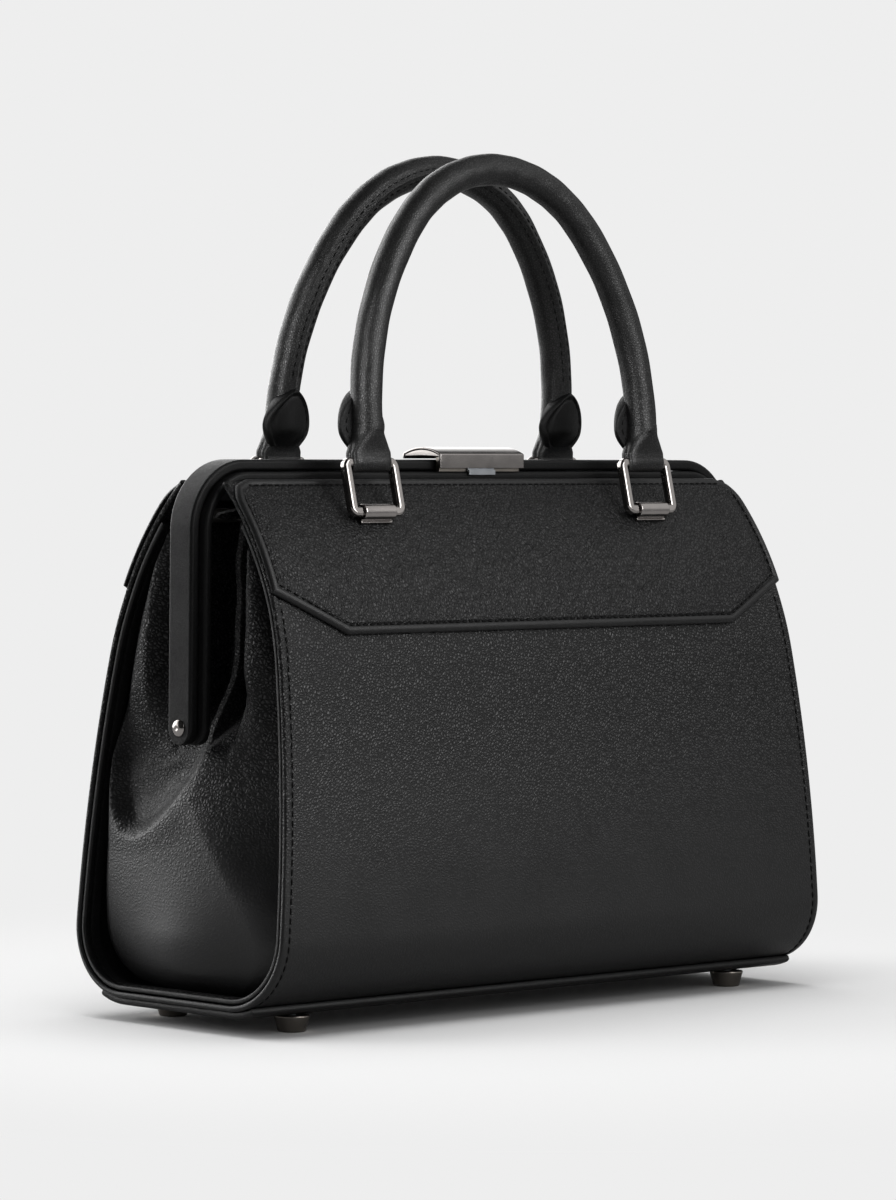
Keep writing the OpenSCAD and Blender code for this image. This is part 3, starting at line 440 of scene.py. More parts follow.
def s_at(z):
    """Length along the wall line at a height above the base fold."""
    return np.interp(z, line_z[1:], line_s[1:])


def s_leaning(degrees):
    """Length along the wall line where the wall leans by an angle."""
    return np.interp(np.radians(degrees), line_lean, line_s)


def wall(s, depth):
    """Point of the wall at length s, set in by depth along its normal: (y, z)."""
    lean = np.interp(s, line_s, line_lean)
    return np.interp(s, line_s, line_y) - depth * np.cos(lean), np.interp(s, line_s, line_z) - depth * np.sin(lean)


def on_wall(x, s, depth, side):
    """Points at x on the wall of one side, at length s and set in by depth."""
    y, z = wall(s, depth)
    return grid_of(x, side * y, z)


def wall_out(s, side):
    """Outward normals of the wall of one side at lengths s."""
    lean = np.interp(s, line_s, line_lean)
    return grid_of(0.0, side * np.cos(lean), np.sin(lean))


def half_w(z):
    """Half the width of the shell at a height: two straight tapers that meet at the shoulder line."""
    return np.interp(z, [shell_z, shoulder_z, shell_top], [base_w / 2, shoulder_w / 2, top_w / 2])


def turned(e, r):
    """Roll of a turned edge: how far a sheet's face drops at a distance e from its edge, with radius r."""
    return r - np.sqrt(np.clip(r * r - np.clip(r * 0.97 - e, 0, None) ** 2, 0, None))


def bell(t, wide):
    """1 at t = 0, falling off on both sides within about wide."""
    return np.exp(-(t / wide) ** 2)


def groove(e, at, deep, wide=0.5):
    """A pressed stitch line: a bell-shaped dip deep mm down, at a distance e = at from the edge."""
    return deep * bell(e - at, wide)


EDGE = np.array([0.0, 0.12, 0.3, 0.55, 0.85, 1.2, 1.7, 2.3, 2.7, 3.0, 3.2, 3.4, 3.6, 3.8, 4.1, 4.5, 5.2, 6.5, 8.5])

# %% [markdown]
# ## Stitches
# A lockstitch shows as short dashes, each dipping into the leather at both ends. Each dash here is a small
# rod of six sides that swells in the middle, laid along a path at the real pitch of 3.3 mm.

# %% Stitch helper
PITCH, DASH_ROWS, DASH_SIDES = 3.3, 5, 6


def stitches(name, path, out, rider=None, length=2.3, thick=0.62):
    """Dashes along a path: at each pitch, a rod whose radius goes as the square root of sine from end to end."""
    far = lengths(path)
    count = max(1, int(far[-1] // PITCH))
    middle = (np.arange(count) + 0.5) * far[-1] / count
    t = np.linspace(0, 1, DASH_ROWS)
    where = middle[:, None] + (t - 0.5) * length
    spot, normal = (np.stack([np.interp(where, far, of[:, k]) for k in range(3)], -1) for of in (path, out))
    normal /= np.linalg.norm(normal, axis=-1, keepdims=True)
    ahead = spot[:, -1:] - spot[:, :1]
    ahead = ahead / np.linalg.norm(ahead, axis=-1, keepdims=True) + 0 * spot
    across = np.cross(ahead, normal)
    swell = np.sqrt(np.sin(np.pi * np.clip(t, 0.04, 0.96)))[:, None, None]
    a = np.arange(DASH_SIDES)[:, None] * np.pi / 3
    ring = np.cos(a) * across[:, :, None] + np.sin(a) * normal[:, :, None]
    points = spot[:, :, None] + thick / 2 * swell * ring + 0.05 * normal[:, :, None]
    tips = spot[:, [0, -1]] - 0.1 * normal[:, [0, -1]]
    points = np.concatenate([points.reshape(count, -1, 3), tips], 1)
    dash = np.concatenate([tube_quads(DASH_ROWS, DASH_SIDES), tip_quads(DASH_ROWS, DASH_SIDES)])
    quads = (dash + points.shape[1] * np.arange(count)[:, None, None]).reshape(-1, 4)
    return piece(name, points.reshape(-1, 3), quads, thread, rider)


def bend_with(thing):
    """Bakes the piece's placement into its mesh."""
    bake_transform(thing)


# %% [markdown]
# ## Panels
# Each half of the shell is one piece of calf that runs from the middle of the base up to the frame. Its end
# edges are turned and pressed flat, with a stitch line 3.4 mm in. The sheet is a grid of length along the wall
# by distance across, with fine columns near the edges, where the roll and the stitch groove need them.

# %% Front and rear panels
def there_and_back(half):
    """Values and then the same values backwards, as a mirrored row has them."""
    return np.concatenate([half, half[::-1]])


def outward(half):
    """-1 for the left half of a mirrored row and 1 for the right half."""
    return np.repeat([-1.0, 1.0], len(half))


def wall_sheet(name, side, s, e, depth_out, depth_in, inset, material):
    """A sheet on the wall: rows at lengths s, columns at distances e from its ends, inset from the shell's ends."""
    x = outward(e) * np.maximum(half_w(wall(s, 0)[1])[:, None] - inset - there_and_back(e), 0)
    grids = [on_wall(x, s[:, None], there_and_back(depth), side) for depth in (depth_out, depth_in)]
    return sheet(name, *grids, material)


panel_t, panel_seam, seam_depth = 2.1, 3.4, 0.12
e_panel = np.concatenate([EDGE, np.linspace(12, 128, 40)])
panel_skin = turned(e_panel, 1.05) + groove(e_panel, panel_seam, 0.28) - 0.12 * bell(e_panel - 1.9, 1.0)
# Close rows at the foot keep the shading true up to the edge where the two halves meet
FOOT = np.array([0, 0.04, 0.12, 0.3, 0.8])
s_panel = np.concatenate([FOOT, np.linspace(0, 20, 4)[1:-1], np.linspace(20, line_s[-1] - 1, 130), line_s[-1:] - 0.2])
for part, side in SIDES.items():
    panel = wall_sheet(part + "_panel_leather", side, s_panel, e_panel, panel_skin,
                       panel_t - turned(e_panel, 1.0) * 0.9, 0.0, pebbled_calf)
    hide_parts(part + "_panel", part + "_facing")
    bend_with(panel)
    for word, hand in HANDS.items():
        s = np.linspace(s_leaning(-62), s_at(150.0), 200)
        path = on_wall(hand * (half_w(wall(s, seam_depth)[1]) - panel_seam), s, seam_depth, side)
        seam = stitches("%s_panel_%s_stitching" % (part, word), path, wall_out(s, side))
        bend_with(seam)
print("panels:", len(s_panel), "rows,", 2 * len(e_panel), "columns")

# %% [markdown]
# ## Yokes
# The yoke lies over the top of each panel. Its lower edge is straight in the middle and turns up to the ends,
# and its top corners are round. All its edges are folded over and top-stitched, so the border stands a little
# proud. The drop at each point comes from its distance to the outline, worked out for the whole grid at once.

# %% Yokes
yoke_knee, knee_z, corner_z, overhang, corner_r, yoke_seam = 0.76 * shoulder_w / 2, 139.7, 154.8, 0.4, 9.0, 3.3
yoke_top = shell_top - 0.3


def outline_distance(points, outline):
    """Shortest distance from each point to a closed outline: distance to every edge's nearest point, least of all."""
    best = np.full(len(points), 1e9)
    for start, along in zip(outline, np.roll(outline, -1, 0) - outline):
        t = np.clip(((points - start) @ along) / max(along @ along, 1e-9), 0, 1)
        best = np.minimum(best, np.linalg.norm(points - start - t[:, None] * along, axis=1))
    return best


knee_u = yoke_knee / (half_w(knee_z) + overhang)
u_side = np.concatenate([np.linspace(0, knee_u - 0.03, 34), knee_u + np.array([-0.02, -0.01, 0, 0.01, 0.02]),
                         np.linspace(knee_u + 0.04, 0.93, 12), 1 - EDGE[12::-1] / 132])


def yoke_height(u, v):
    """Height at a share across u and a share up v, between the bent lower edge and the round-cornered top."""
    low = knee_z + (corner_z - knee_z) * np.clip((np.abs(u) - knee_u) / (1 - knee_u), 0, 1)
    to_corner = np.clip(np.abs(u) * 131.4 - (131.4 - corner_r), 0, corner_r)
    high = yoke_top - corner_r + np.sqrt(np.maximum(corner_r ** 2 - to_corner ** 2, 0))
    return low + (high - low) * v


u_grid, v_grid = np.meshgrid(np.concatenate([-u_side[:0:-1], u_side]), fine_ends(54.0, EDGE[:16], 1.6) / 54.0)
z_yoke = yoke_height(u_grid, v_grid)
x_yoke = u_grid * (half_w(z_yoke) + overhang)
s_yoke = s_at(z_yoke)
flat = grid_of(x_yoke, s_yoke)
rim = np.concatenate([flat[0], flat[1:, -1], flat[-1, -2::-1], flat[-2:0:-1, 0]])
e_yoke = outline_distance(flat.reshape(-1, 2), rim).reshape(x_yoke.shape)
top_depth = -2.0 + turned(e_yoke, 1.5) - 0.3 * bell(e_yoke - 1.8, 1.1) + groove(e_yoke, yoke_seam, 0.5)
low_depth = -0.3 - 0.6 * turned(e_yoke, 0.7)
for part, side in SIDES.items():
    grids = [on_wall(x_yoke, s_yoke, depth, side) for depth in (top_depth, low_depth)]
    yoke = sheet(part + "_yoke_leather", *grids, drawn_calf)
    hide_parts(part + "_yoke")
    # Outside the stitches the hide is folded over and pressed smooth
    add_slot(yoke, edge_calf, ((e_yoke[1:, 1:] + e_yoke[:-1, :-1]) / 2 < 3.0).ravel())
    bend_with(yoke)
print("yokes:", u_grid.size, "points a side; widest", round(float(np.abs(x_yoke).max()), 1))

# %% [markdown]
# The stitches follow the yoke's outline 3.3 mm in, as points (x, s) along the wall: four along the lower edge,
# a quarter of an ellipse at each top corner, and back to the start.

# %% Yoke stitching
corner_x, corner_s = half_w(corner_z) + overhang - yoke_seam, s_at(corner_z) + yoke_seam * 0.85
knee_s, round_h = s_at(knee_z) + yoke_seam, corner_r * 1.3
low = np.array([[-corner_x, corner_s], [-yoke_knee, knee_s], [yoke_knee, knee_s], [corner_x, corner_s]])
a = np.linspace(0, np.pi / 2, 8)
bow = grid_of(half_w(185.0) + overhang - corner_r + (corner_r - yoke_seam) * np.cos(a),
              s_at(yoke_top) - round_h + (round_h - yoke_seam) * np.sin(a))
ring = np.concatenate([low, bow, (bow * [-1, 1])[::-1], low[:1]])
far = lengths(ring)
t = np.linspace(0, far[-1], 1200)
x_seam, s_seam = np.interp(t, far, ring[:, 0]), np.interp(t, far, ring[:, 1])
for part, side in SIDES.items():
    seam = stitches(part + "_yoke_stitching", on_wall(x_seam, s_seam, -1.75, side), wall_out(s_seam, side))
    bend_with(seam)

# %% [markdown]
# ## Base patch and edge bindings
# A thicker patch wraps the base and turns up round both folds; its upper edge shows as a line along the foot
# of the panel. Inside each end a turned strip, the binding, doubles the panel's edge: from the side the two
# edges show as a pair of lines with a dark groove between them.

# %% Base patch
patch_s = s_leaning(-66)
e_patch = np.concatenate([EDGE, np.linspace(14, 126, 30)])
s_half = np.concatenate([np.linspace(0, patch_s - 9, 12), patch_s - EDGE[17::-1]])
s_patch = np.concatenate([-s_half[:0:-1], s_half])[:, None]
x = outward(e_patch) * (half_w(shell_z) - 1.8 - there_and_back(e_patch))
e = np.minimum(there_and_back(e_patch), patch_s - np.abs(s_patch))
grids = [on_wall(x, np.abs(s_patch), depth, np.sign(s_patch))
         for depth in (-2.8 + turned(e, 1.4), -0.05 - 0.6 * turned(e, 1.0))]
patch = sheet("base_patch_leather", *grids, edge_calf, "bag")
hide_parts("base_patch")

# %% Edge bindings
bind_w, bind_top, bind_seam, bind_outer, bind_inner = 8.0, 180.0, 3.0, 2.45, 4.4
e_bind = np.array([0, 0.1, 0.25, 0.45, 0.7, 1.0, 1.5, 2.2, 2.7, 3.0, 3.3, 3.6, 4.2, 5.2, 6.4, 7.2, 7.6, 7.85, bind_w])
roll = turned(np.minimum(e_bind, bind_w - e_bind), 0.95) * 0.9
s_bind = np.concatenate([FOOT, np.linspace(0, 24, 8)[1:-1], np.linspace(24, s_at(bind_top), 140)])
half = half_w(wall(s_bind, 0)[1]) - 0.6
for part, side, word, hand in CORNERS:
    grids = [on_wall(hand * (half[:, None] - e_bind), s_bind[:, None], depth, side)
             for depth in (bind_outer + roll, bind_inner - roll - groove(e_bind, bind_seam, 0.25))]
    strip = sheet("%s_binding_%s_half" % (word, part), *grids, edge_calf, weighted=True)
    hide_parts(word + "_edge_binding")
    bend_with(strip)
    path = on_wall(hand * (half - bind_seam), s_bind, bind_inner - 0.1, side)
    seam = stitches("%s_binding_%s_stitching" % (word, part), path, -wall_out(s_bind, side), thick=0.4)
    bend_with(seam)
print("base patch and bindings made")

# %% [markdown]
# ## Gussets
# The end of the bag is the hardest form: one piece of soft calf that is a smooth pillow below the hinge, and
# above it folds into a W so that the frame can close. The front and rear lobes stand beside the panels, two
# deep valleys lie inside them, and a narrow fold runs up the middle behind the frame's legs. The pillow hangs
# in a slanting crease from lobe to lobe. The whole surface is one formula, x as a function of y and z.

# %% Gusset surface
hinge_z, gusset_low, gusset_mid, gusset_top, seam_back = 106.3, 10.9, 70.0, 177.0, 17.9
fan_y, fan_z = 2.0, 96.0


def smooth(t):
    """0 below 0, 1 above 1, and 3 t^2 - 2 t^3 between."""
    t = np.clip(t, 0, 1)
    return t * t * (3 - 2 * t)


def quarter(t):
    """A quarter circle's rise from 0 to 1."""
    return np.sqrt(1 - (1 - np.clip(t, 0, 1)) ** 2)


def inside_y(z):
    """Half the room between the two bindings at a height."""
    y, height = wall(np.linspace(line_s[1], line_s[-1], 900), bind_inner)
    return np.interp(z, height, y)


# The crease: a slanting line from the front lobe, below the rivet, to the rear lobe, as points (y, z)
crease = np.array([[-19.0, 150], [-18, 134], [-15, 119], [-10.5, 107], [-5.2, 97], [0.5, 87.5], [6.7, 79.5], [13, 73],
                   [20, 68.5], [28, 66], [35, 67.5], [40.5, 73.5], [43.5, 83], [45, 95], [45.5, 112], [45, 150]])
t = np.linspace(0, len(crease) - 1, 160)
crease = grid_of(*(np.interp(t, np.arange(len(crease)), crease[:, k]) for k in (0, 1)))
for _ in range(24):
    crease[1:-1] = 0.25 * crease[:-2] + 0.5 * crease[1:-1] + 0.25 * crease[2:]


def crease_distance(y, z):
    """Signed distance to the crease: positive above it, towards the rivet."""
    points = grid_of(y.ravel(), z.ravel())
    apart = np.linalg.norm(points[:, None] - crease, axis=2)
    near = apart.argmin(1)
    along = crease[np.minimum(near + 1, len(crease) - 1)] - crease[np.maximum(near - 1, 0)]
    to = points - crease[near]
    side = np.sign(along[:, 0] * to[:, 1] - along[:, 1] * to[:, 0])
    return (side * apart.min(1)).reshape(y.shape)


def gusset_x(y, z, top):
    """Outer face: seam line + pillow or lobes - basin inside the crease - valleys + middle fold - drop at the top."""
    half = inside_y(z)
    to_wall = np.maximum(half - np.abs(y), 0)
    # The folds are hand-made, so their lines wander a little in y as they climb
    drift = 0.7 * np.sin(z / 8.0) + 0.4 * np.sin(z / 3.7 + 1.0)
    a, fold = np.abs(y + 0.5 * drift), np.abs(y - drift)
    folded = smooth((z - 94) / 30)
    lobe_w = (half - 18) / 2
    behind = 8.0 - 4.5 * smooth((z - 60) / 35) + (lobe_w - 3.5) * folded
    # In front of the crease the leather falls in one long slope to the seam, from z 60 up to the front lobe
    ahead = np.interp(z, [30, 45, 62, 80, 97, 107, 119, 134, 150], [14, 22, 34, 46, 40, 33, 25, 13, 9.5])
    slope = smooth((z - 42) / 22) * (1 - smooth((z - 114) / 14)) * (y < 0)
    share = np.clip(to_wall / np.where(y < 0, ahead, behind), 0, 1)
    border = quarter(share) * (1 - slope) + (1 - (1 - share) ** 1.5) * slope
    inner = quarter((a - 17.2) / lobe_w)
    # The pillow stands upright in the middle and draws in towards its lower corners
    corner = smooth(np.abs(y) / 42)
    rise = (1 - corner) * quarter((z - gusset_low) / 24) + corner * quarter((z - gusset_low) / 60)
    crown = 2.9 * (1 - (y / 40) ** 2) * (1 - smooth((z - 72) / 22))
    fullness = (15.6 + crown) * rise + 2.5 * folded * smooth((a - 20) / 8)
    # A soft ridge runs in front of the crease, and rays of fine wrinkles fan out below the rivet
    basin = crease_distance(y, z)
    ridge = 0.4 * bell(basin + 2.8, 5.6) * smooth((135 - z) / 25) * smooth((z - 58) / 10)
    angle = np.arctan2(z - fan_z, y - fan_y)
    rays = 0.3 * np.cos(9 * angle + 1.5 * np.sin(3 * angle)) * smooth((np.hypot(z - fan_z, y - fan_y) - 6) / 7)
    rays = rays * smooth(basin / 4) * smooth((14 - np.abs(basin - 9)) / 10)
    sink = 5.6 * smooth((basin + 1.6) / 8.5) * smooth((to_wall + 1) / 7) * (1 - 0.7 * folded) + rays * (1 - folded)
    body = (fullness + ridge - sink) * border * (1 - folded * (1 - inner))
    floor_of_valley = 15 * folded * (1 - smooth((a - 14.6) / 2.6))
    middle = 13.0 * folded * (1 - smooth((fold - 1.3) / 2.6))
    close = 12 * (1 - quarter((top - z) / 3.5))
    return half_w(z) - seam_back + body - floor_of_valley + middle - close


def gusset_grid(start, end, z_from, z_to, rows, cols):
    """Outer points, normals and inner points between two lines, up to the slanting top edge. A line is two shares,
    of the half room inside and of the wedge, the border between the lobes and the folds."""
    r, c = np.meshgrid(np.linspace(0, 1, rows), np.linspace(0, 1, cols), indexing="ij")
    z = z_from + (z_to - z_from) * r
    lines = [inside_y(z), 13.5 * np.clip((z - gusset_mid) / 108, 0, 1)]
    y_from, y_to = (share[0] * lines[0] + share[1] * lines[1] for share in (start, end))
    y = y_from * (1 - c) + y_to * c
    z = z + 7 * (1 - np.abs(y / inside_y(z))) * np.clip((z - 160) / (gusset_top - 160), 0, 1)
    top = gusset_top + 7 * (1 - np.abs(y / inside_y(z)))
    d = 0.2
    dy = (gusset_x(y + d, z, top) - gusset_x(y - d, z, top)) / (2 * d)
    dz = (gusset_x(y, z + d, top) - gusset_x(y, z - d, top)) / (2 * d)
    n = grid_of(1.0, -dy, -dz)
    n /= np.linalg.norm(n, axis=-1, keepdims=True)
    outer = grid_of(gusset_x(y, z, top), y, z)
    return outer, n, outer - np.array([1.5, 0, 0])


# The patches of each end: the lines that bound them, their heights, rows and columns, and what they follow
patches = {
    "pillow": ((-1, 0), (1, 0), gusset_low, gusset_mid, 52, 110, None),
    "front_lobe": ((-1, 0), (0, -1), gusset_mid, gusset_top, 96, 60, FRONT),
    "front_fold": ((0, -1), (0, 0), gusset_mid, gusset_top, 96, 26, "front"),
    "rear_fold": ((0, 0), (0, 1), gusset_mid, gusset_top, 96, 26, "rear"),
    "rear_lobe": ((0, 1), (1, 0), gusset_mid, gusset_top, 96, 60, REAR)}
for word, hand in HANDS.items():
    for part, (*where, follow) in patches.items():
        outer, n, flesh = (grid * [hand, 1, 1] for grid in gusset_grid(*where))
        both = np.concatenate([n.reshape(-1, 3), -n.reshape(-1, 3)])
        gusset = sheet("%s_gusset_%s" % (word, part), outer, flesh, slack_calf, normals=both)
        quads = (outer.shape[0] - 1) * (outer.shape[1] - 1)
        add_slot(gusset, cotton, np.arange(2 * quads) >= quads)
        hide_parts(word + ("_gusset" if part == "pillow" else "_gusset_fold"))
        if follow is None:
            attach(gusset, "bag")
        elif follow in (FRONT, REAR):
            bend_with(gusset)
        else:
            side = SIDES[follow]
            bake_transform(gusset)
print("gussets made of", len(patches), "patches each")

# %% [markdown]
# ## Lining, boards and pocket
# Inside, cloth covers the boards that stiffen the walls. These sheets follow the same wall line, a little
# deeper in.

# %% Lining and boards
s_inside = np.linspace(0, s_at(186.0), 70)
s_board = np.linspace(s_at(31.0), s_at(138.0), 50)
e_inside = np.concatenate([np.array([0, 0.3, 0.8, 2, 4, 8]), np.linspace(12, 112, 26)])
e_turn = turned(e_inside, 0.4)
cloth_outer, cloth_inner, cloth_inset = 4.05, 4.8, 18.6
board_outer, board_inner, board_inset = 2.45, 3.95, 19.0
for part, side in SIDES.items():
    cloth_half = wall_sheet(part + "_lining", side, s_inside, e_inside, cloth_outer + e_turn, cloth_inner - e_turn,
                            cloth_inset, cotton)
    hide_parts("lining")
    bend_with(cloth_half)
    board = wall_sheet(part + "_stiffener", side, s_board, e_inside, board_outer + e_turn, board_inner - e_turn,
                       board_inset, fibreboard)
    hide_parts(part + "_board")
    bend_with(board)
z = np.linspace(14.5, 97.0, 30)[:, None]
for word, hand in HANDS.items():
    outer = grid_of(hand * (half_w(z) - seam_back - 2.2), np.linspace(-1, 1, 30) * (inside_y(z) - 0.6), z)
    end = sheet(word + "_end_lining", outer, outer - np.array([hand * 0.8, 0, 0]), cotton, "bag")
    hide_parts(word + "_lining_end")

# %% Slip pocket
pocket_half, pocket_low, pocket_high = 65, s_at(58.0), s_at(126.0)
e_pocket = np.concatenate([EDGE[:17], np.linspace(9, 62, 14)])
s_pocket = pocket_low + fine_ends(pocket_high - pocket_low, EDGE[:16], 3.0)[:, None]
near = np.minimum(there_and_back(e_pocket), np.minimum(s_pocket - s_pocket[0], s_pocket[-1] - s_pocket))
grids = [on_wall(outward(e_pocket) * (pocket_half - there_and_back(e_pocket)), s_pocket, depth, REAR)
         for depth in (4.85 + 0.5 * turned(near, 0.5), 5.85 - turned(near, 0.5) - groove(near, 2.7, 0.15))]
pocket = sheet("slip_pocket_leather", *grids, smooth_calf)
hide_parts("slip_pocket")
bend_with(pocket)

# %% [markdown]
# ## Frame bars
# The two bars nest: the outer one carries the rear half of the bag, the inner one the front half. Each is a
# steel strip wrapped in smooth calf, so its section is a flat rectangle with soft corners. The section is
# carried along an arch and narrows to a round end below the rivet.

# %% Frame bars
def soft_box(width, height, r, steps):
    """Section of a rectangle with round corners: points (across, out) in order round it."""
    turn = np.linspace(0, np.pi / 2, steps) + np.arange(4)[:, None] * np.pi / 2
    across, out = np.array([[1, -1, -1, 1], [1, 1, -1, -1]])[..., None] * [[[width / 2 - r]], [[height / 2 - r]]]
    return grid_of(across + r * np.cos(turn), out + r * np.sin(turn)).reshape(-1, 2)


def mirror_line(half):
    """A line from its left half: the half, then its mirror image without the middle point again."""
    return np.concatenate([half, (half * [-1, 1])[-2::-1]])


def arch_path(half, top, r, low):
    """Centre line of an arch and its outward normals: a leg, a corner arc, the top, a corner arc and a leg."""
    a = np.linspace(np.pi, np.pi / 2, 28)[1:]
    foot_z = low + 6 * (1 - np.cos(np.linspace(0, np.pi / 2, 12)))
    leg_z = np.concatenate([foot_z, np.linspace(low + 6, top - r, 24)[1:]])
    leg = grid_of(-half, leg_z)
    bend = grid_of(-half + r + r * np.cos(a), top - r + r * np.sin(a))
    across = grid_of(np.linspace(-half + r, 0, 24)[1:], top)
    out = [0 * leg + [-1, 0], grid_of(np.cos(a), np.sin(a)), 0 * across + [0, 1]]
    return mirror_line(np.concatenate([leg, bend, across])), mirror_line(np.concatenate(out))


def frame_bar(name, half, top, r, thick, y_mid, node, rider):
    """A bar: its section swept along the arch, narrowed near each end to a half circle 12 mm across."""
    low = hinge_z - 6
    path, out = arch_path(half - thick / 2, top - thick / 2, r - thick / 2, low)
    narrow = np.maximum(quarter((path[:, 1] - low) / 6), 0.02)
    across, lift = soft_box(12.0, thick, 1.25, 6).T
    grid = grid_of(path[:, :1] + out[:, :1] * lift, y_mid + across * narrow[:, None], path[:, 1:] + out[:, 1:] * lift)
    bar = rod(name, grid, smooth_calf, rider, weighted=True)
    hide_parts(node)


frame_bar("outer_bar_leather", 141.0, 201.0, 25.0, 4.0, 0.0, "rear_frame_cover", "rear_frame")
frame_bar("inner_bar_leather", 136.7, 196.7, 20.7, 3.4, -2.8, "front_frame_cover", "front_frame")
print("frame bars made")

# %% [markdown]
# ## Turned metal: feet and rivets
# Feet and rivet heads are turned on a lathe, so each is a profile of radius and height spun round an axis.

# %% Feet and rivets
def turned_rod(name, profile, centre, axis, material, rider):
    """A profile of (radius, height) spun round an axis through centre, all angles and rows at once."""
    a = np.linspace(0, 2 * np.pi, 48, endpoint=False)[:, None]
    one = np.cross(axis, [0.3, 0.9, 0.1])
    one /= np.linalg.norm(one)
    ring = np.cos(a) * one + np.sin(a) * np.cross(axis, one)
    radius, height = profile.T[..., None, None]
    return rod(name, centre + radius * ring + height * np.array(axis), material, rider, weighted=True)


foot = np.array([[0.05, 0], [4.2, 0], [4.7, 0.08], [5.0, 0.3], [5.14, 0.65], [5.8, 3.4], [6.38, 5.3], [6.42, 5.6],
                 [6.3, 5.82], [6.0, 5.9], [0.05, 5.9]])
for k, (x, y) in enumerate([(sx * 114.3, sy * 31.2) for sx in (-1, 1) for sy in (-1, 1)]):
    post = turned_rod("foot_%d" % (k + 1), foot, (x, y, 0), (0, 0, 1), satin_gunmetal, "bag")
    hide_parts("feet")
dome = np.array([[0.05, -7.4], [1.6, -7.4], [1.6, 0.0], [3.0, 0.0], [3.1, 0.08], [3.0, 0.32], [2.6, 0.68],
                 [2.0, 0.98], [1.3, 1.15], [0.9, 1.17], [0.6, 1.1], [0.05, 1.02]])
for word, hand in HANDS.items():
    rivet = turned_rod(word + "_rivet", dome, (hand * 141.0, 0, hinge_z), (hand, 0, 0), gunmetal, "bag")
    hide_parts(word + "_hinge_rivet")

# %% [markdown]
# ## Rings and bridges
# A ring is one bar of square wire with soft edges, bent to a rectangle and brazed shut. The bridge that holds
# it is stamped from sheet: two flat lips with a barrel between them.

# %% Rings
ring_w, ring_h, wire_w, ring_lean = 27, 18.1, 3.5, np.radians(13.7)
bridge_lean, bridge_r = 0.8 * lean_top, shoulder_r + 2.0 + 3.2
bridge_y, bridge_z = shoulder_cy + bridge_r * np.cos(bridge_lean), shoulder_cz + bridge_r * np.sin(bridge_lean)
ring_top_y, ring_top_z = bridge_y - ring_h * np.sin(ring_lean), bridge_z + ring_h * np.cos(ring_lean)
handle_half = 72.0
print("bridge axis", round(float(bridge_y), 3), round(float(bridge_z), 3))


def leaned(points, angle, y, z, side, x=0.0):
    """Local (x, y, z) turned about X by an angle and moved to (x, y, z), then mirrored to the front half if asked."""
    c, s = np.cos(angle), np.sin(angle)
    out = grid_of(points[..., 0] + x, points[..., 1] * c - points[..., 2] * s + y,
                  points[..., 1] * s + points[..., 2] * c + z)
    return out * np.array([1, side, 1])


# The ring's centre line is a rectangle with round corners, closed, with its outward normals
ring_line = soft_box(ring_w - wire_w, ring_h, 1.95, 9)
along = np.roll(ring_line, -1, 0) - np.roll(ring_line, 1, 0)
ring_out = grid_of(along[:, 1], -along[:, 0]) / np.linalg.norm(along, axis=1, keepdims=True)
wire = soft_box(wire_w, wire_w, 1.1, 6)
ring_line = ring_line + [0, ring_h / 2]
ring_grid = grid_of(ring_line[:, :1] + ring_out[:, :1] * wire[:, 0], wire[:, 1],
                    ring_line[:, 1:] + ring_out[:, 1:] * wire[:, 0])
for part, side, word, hand in CORNERS:
    grid = leaned(ring_grid, ring_lean, bridge_y, bridge_z, side, hand * handle_half)
    loop = rod("%s_%s_ring_wire" % (part, word), grid, gunmetal, part + "_rings", closed=True, weighted=True)
    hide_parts("%s_%s_ring" % (part, word))

# %% Bridges
a = np.linspace(np.radians(-38), np.radians(218), 22)
omega = np.concatenate([[[3.3, -2.9], [3.3, -2.05], [3.15, -1.88], [2.5, -1.86]], 2.9 * grid_of(np.cos(a), np.sin(a)),
                        [[-2.5, -1.86], [-3.15, -1.88], [-3.3, -2.05], [-3.3, -2.9]]])
ends = np.array([-7.7, -7.62, -7.4, -7.0, 7.0, 7.4, 7.62, 7.7])
shrink = np.array([0.25, 0.1, 0.03, 0, 0, 0.03, 0.1, 0.25])
middle = np.array([0.0, -1.2])
section = middle + (omega - middle) * (1 - shrink[:, None, None] / 3.0)
bridge_grid = grid_of(ends[:, None], section[..., 0], section[..., 1])
for part, side, word, hand in CORNERS:
    # In the bridge's own frame y runs down the shoulder and z points out of it
    grid = leaned(bridge_grid, bridge_lean - np.pi / 2, bridge_y, bridge_z, side, hand * handle_half)
    bridge = rod("%s_%s_bridge_plate" % (part, word), grid, gunmetal, part + "_frame", weighted=True)
    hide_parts("%s_%s_bridge" % (part, word))

# %% [markdown]
# ## Handles
# A rolled handle is calf wrapped round a cord and closed with a raised seam on its inner side. Its line is a
# straight end, a long flank and a tight crown, all tangent. The section is a circle with a small ridge where
# the seam is, and it is carried along the line. Near the ring it flattens into a strap.

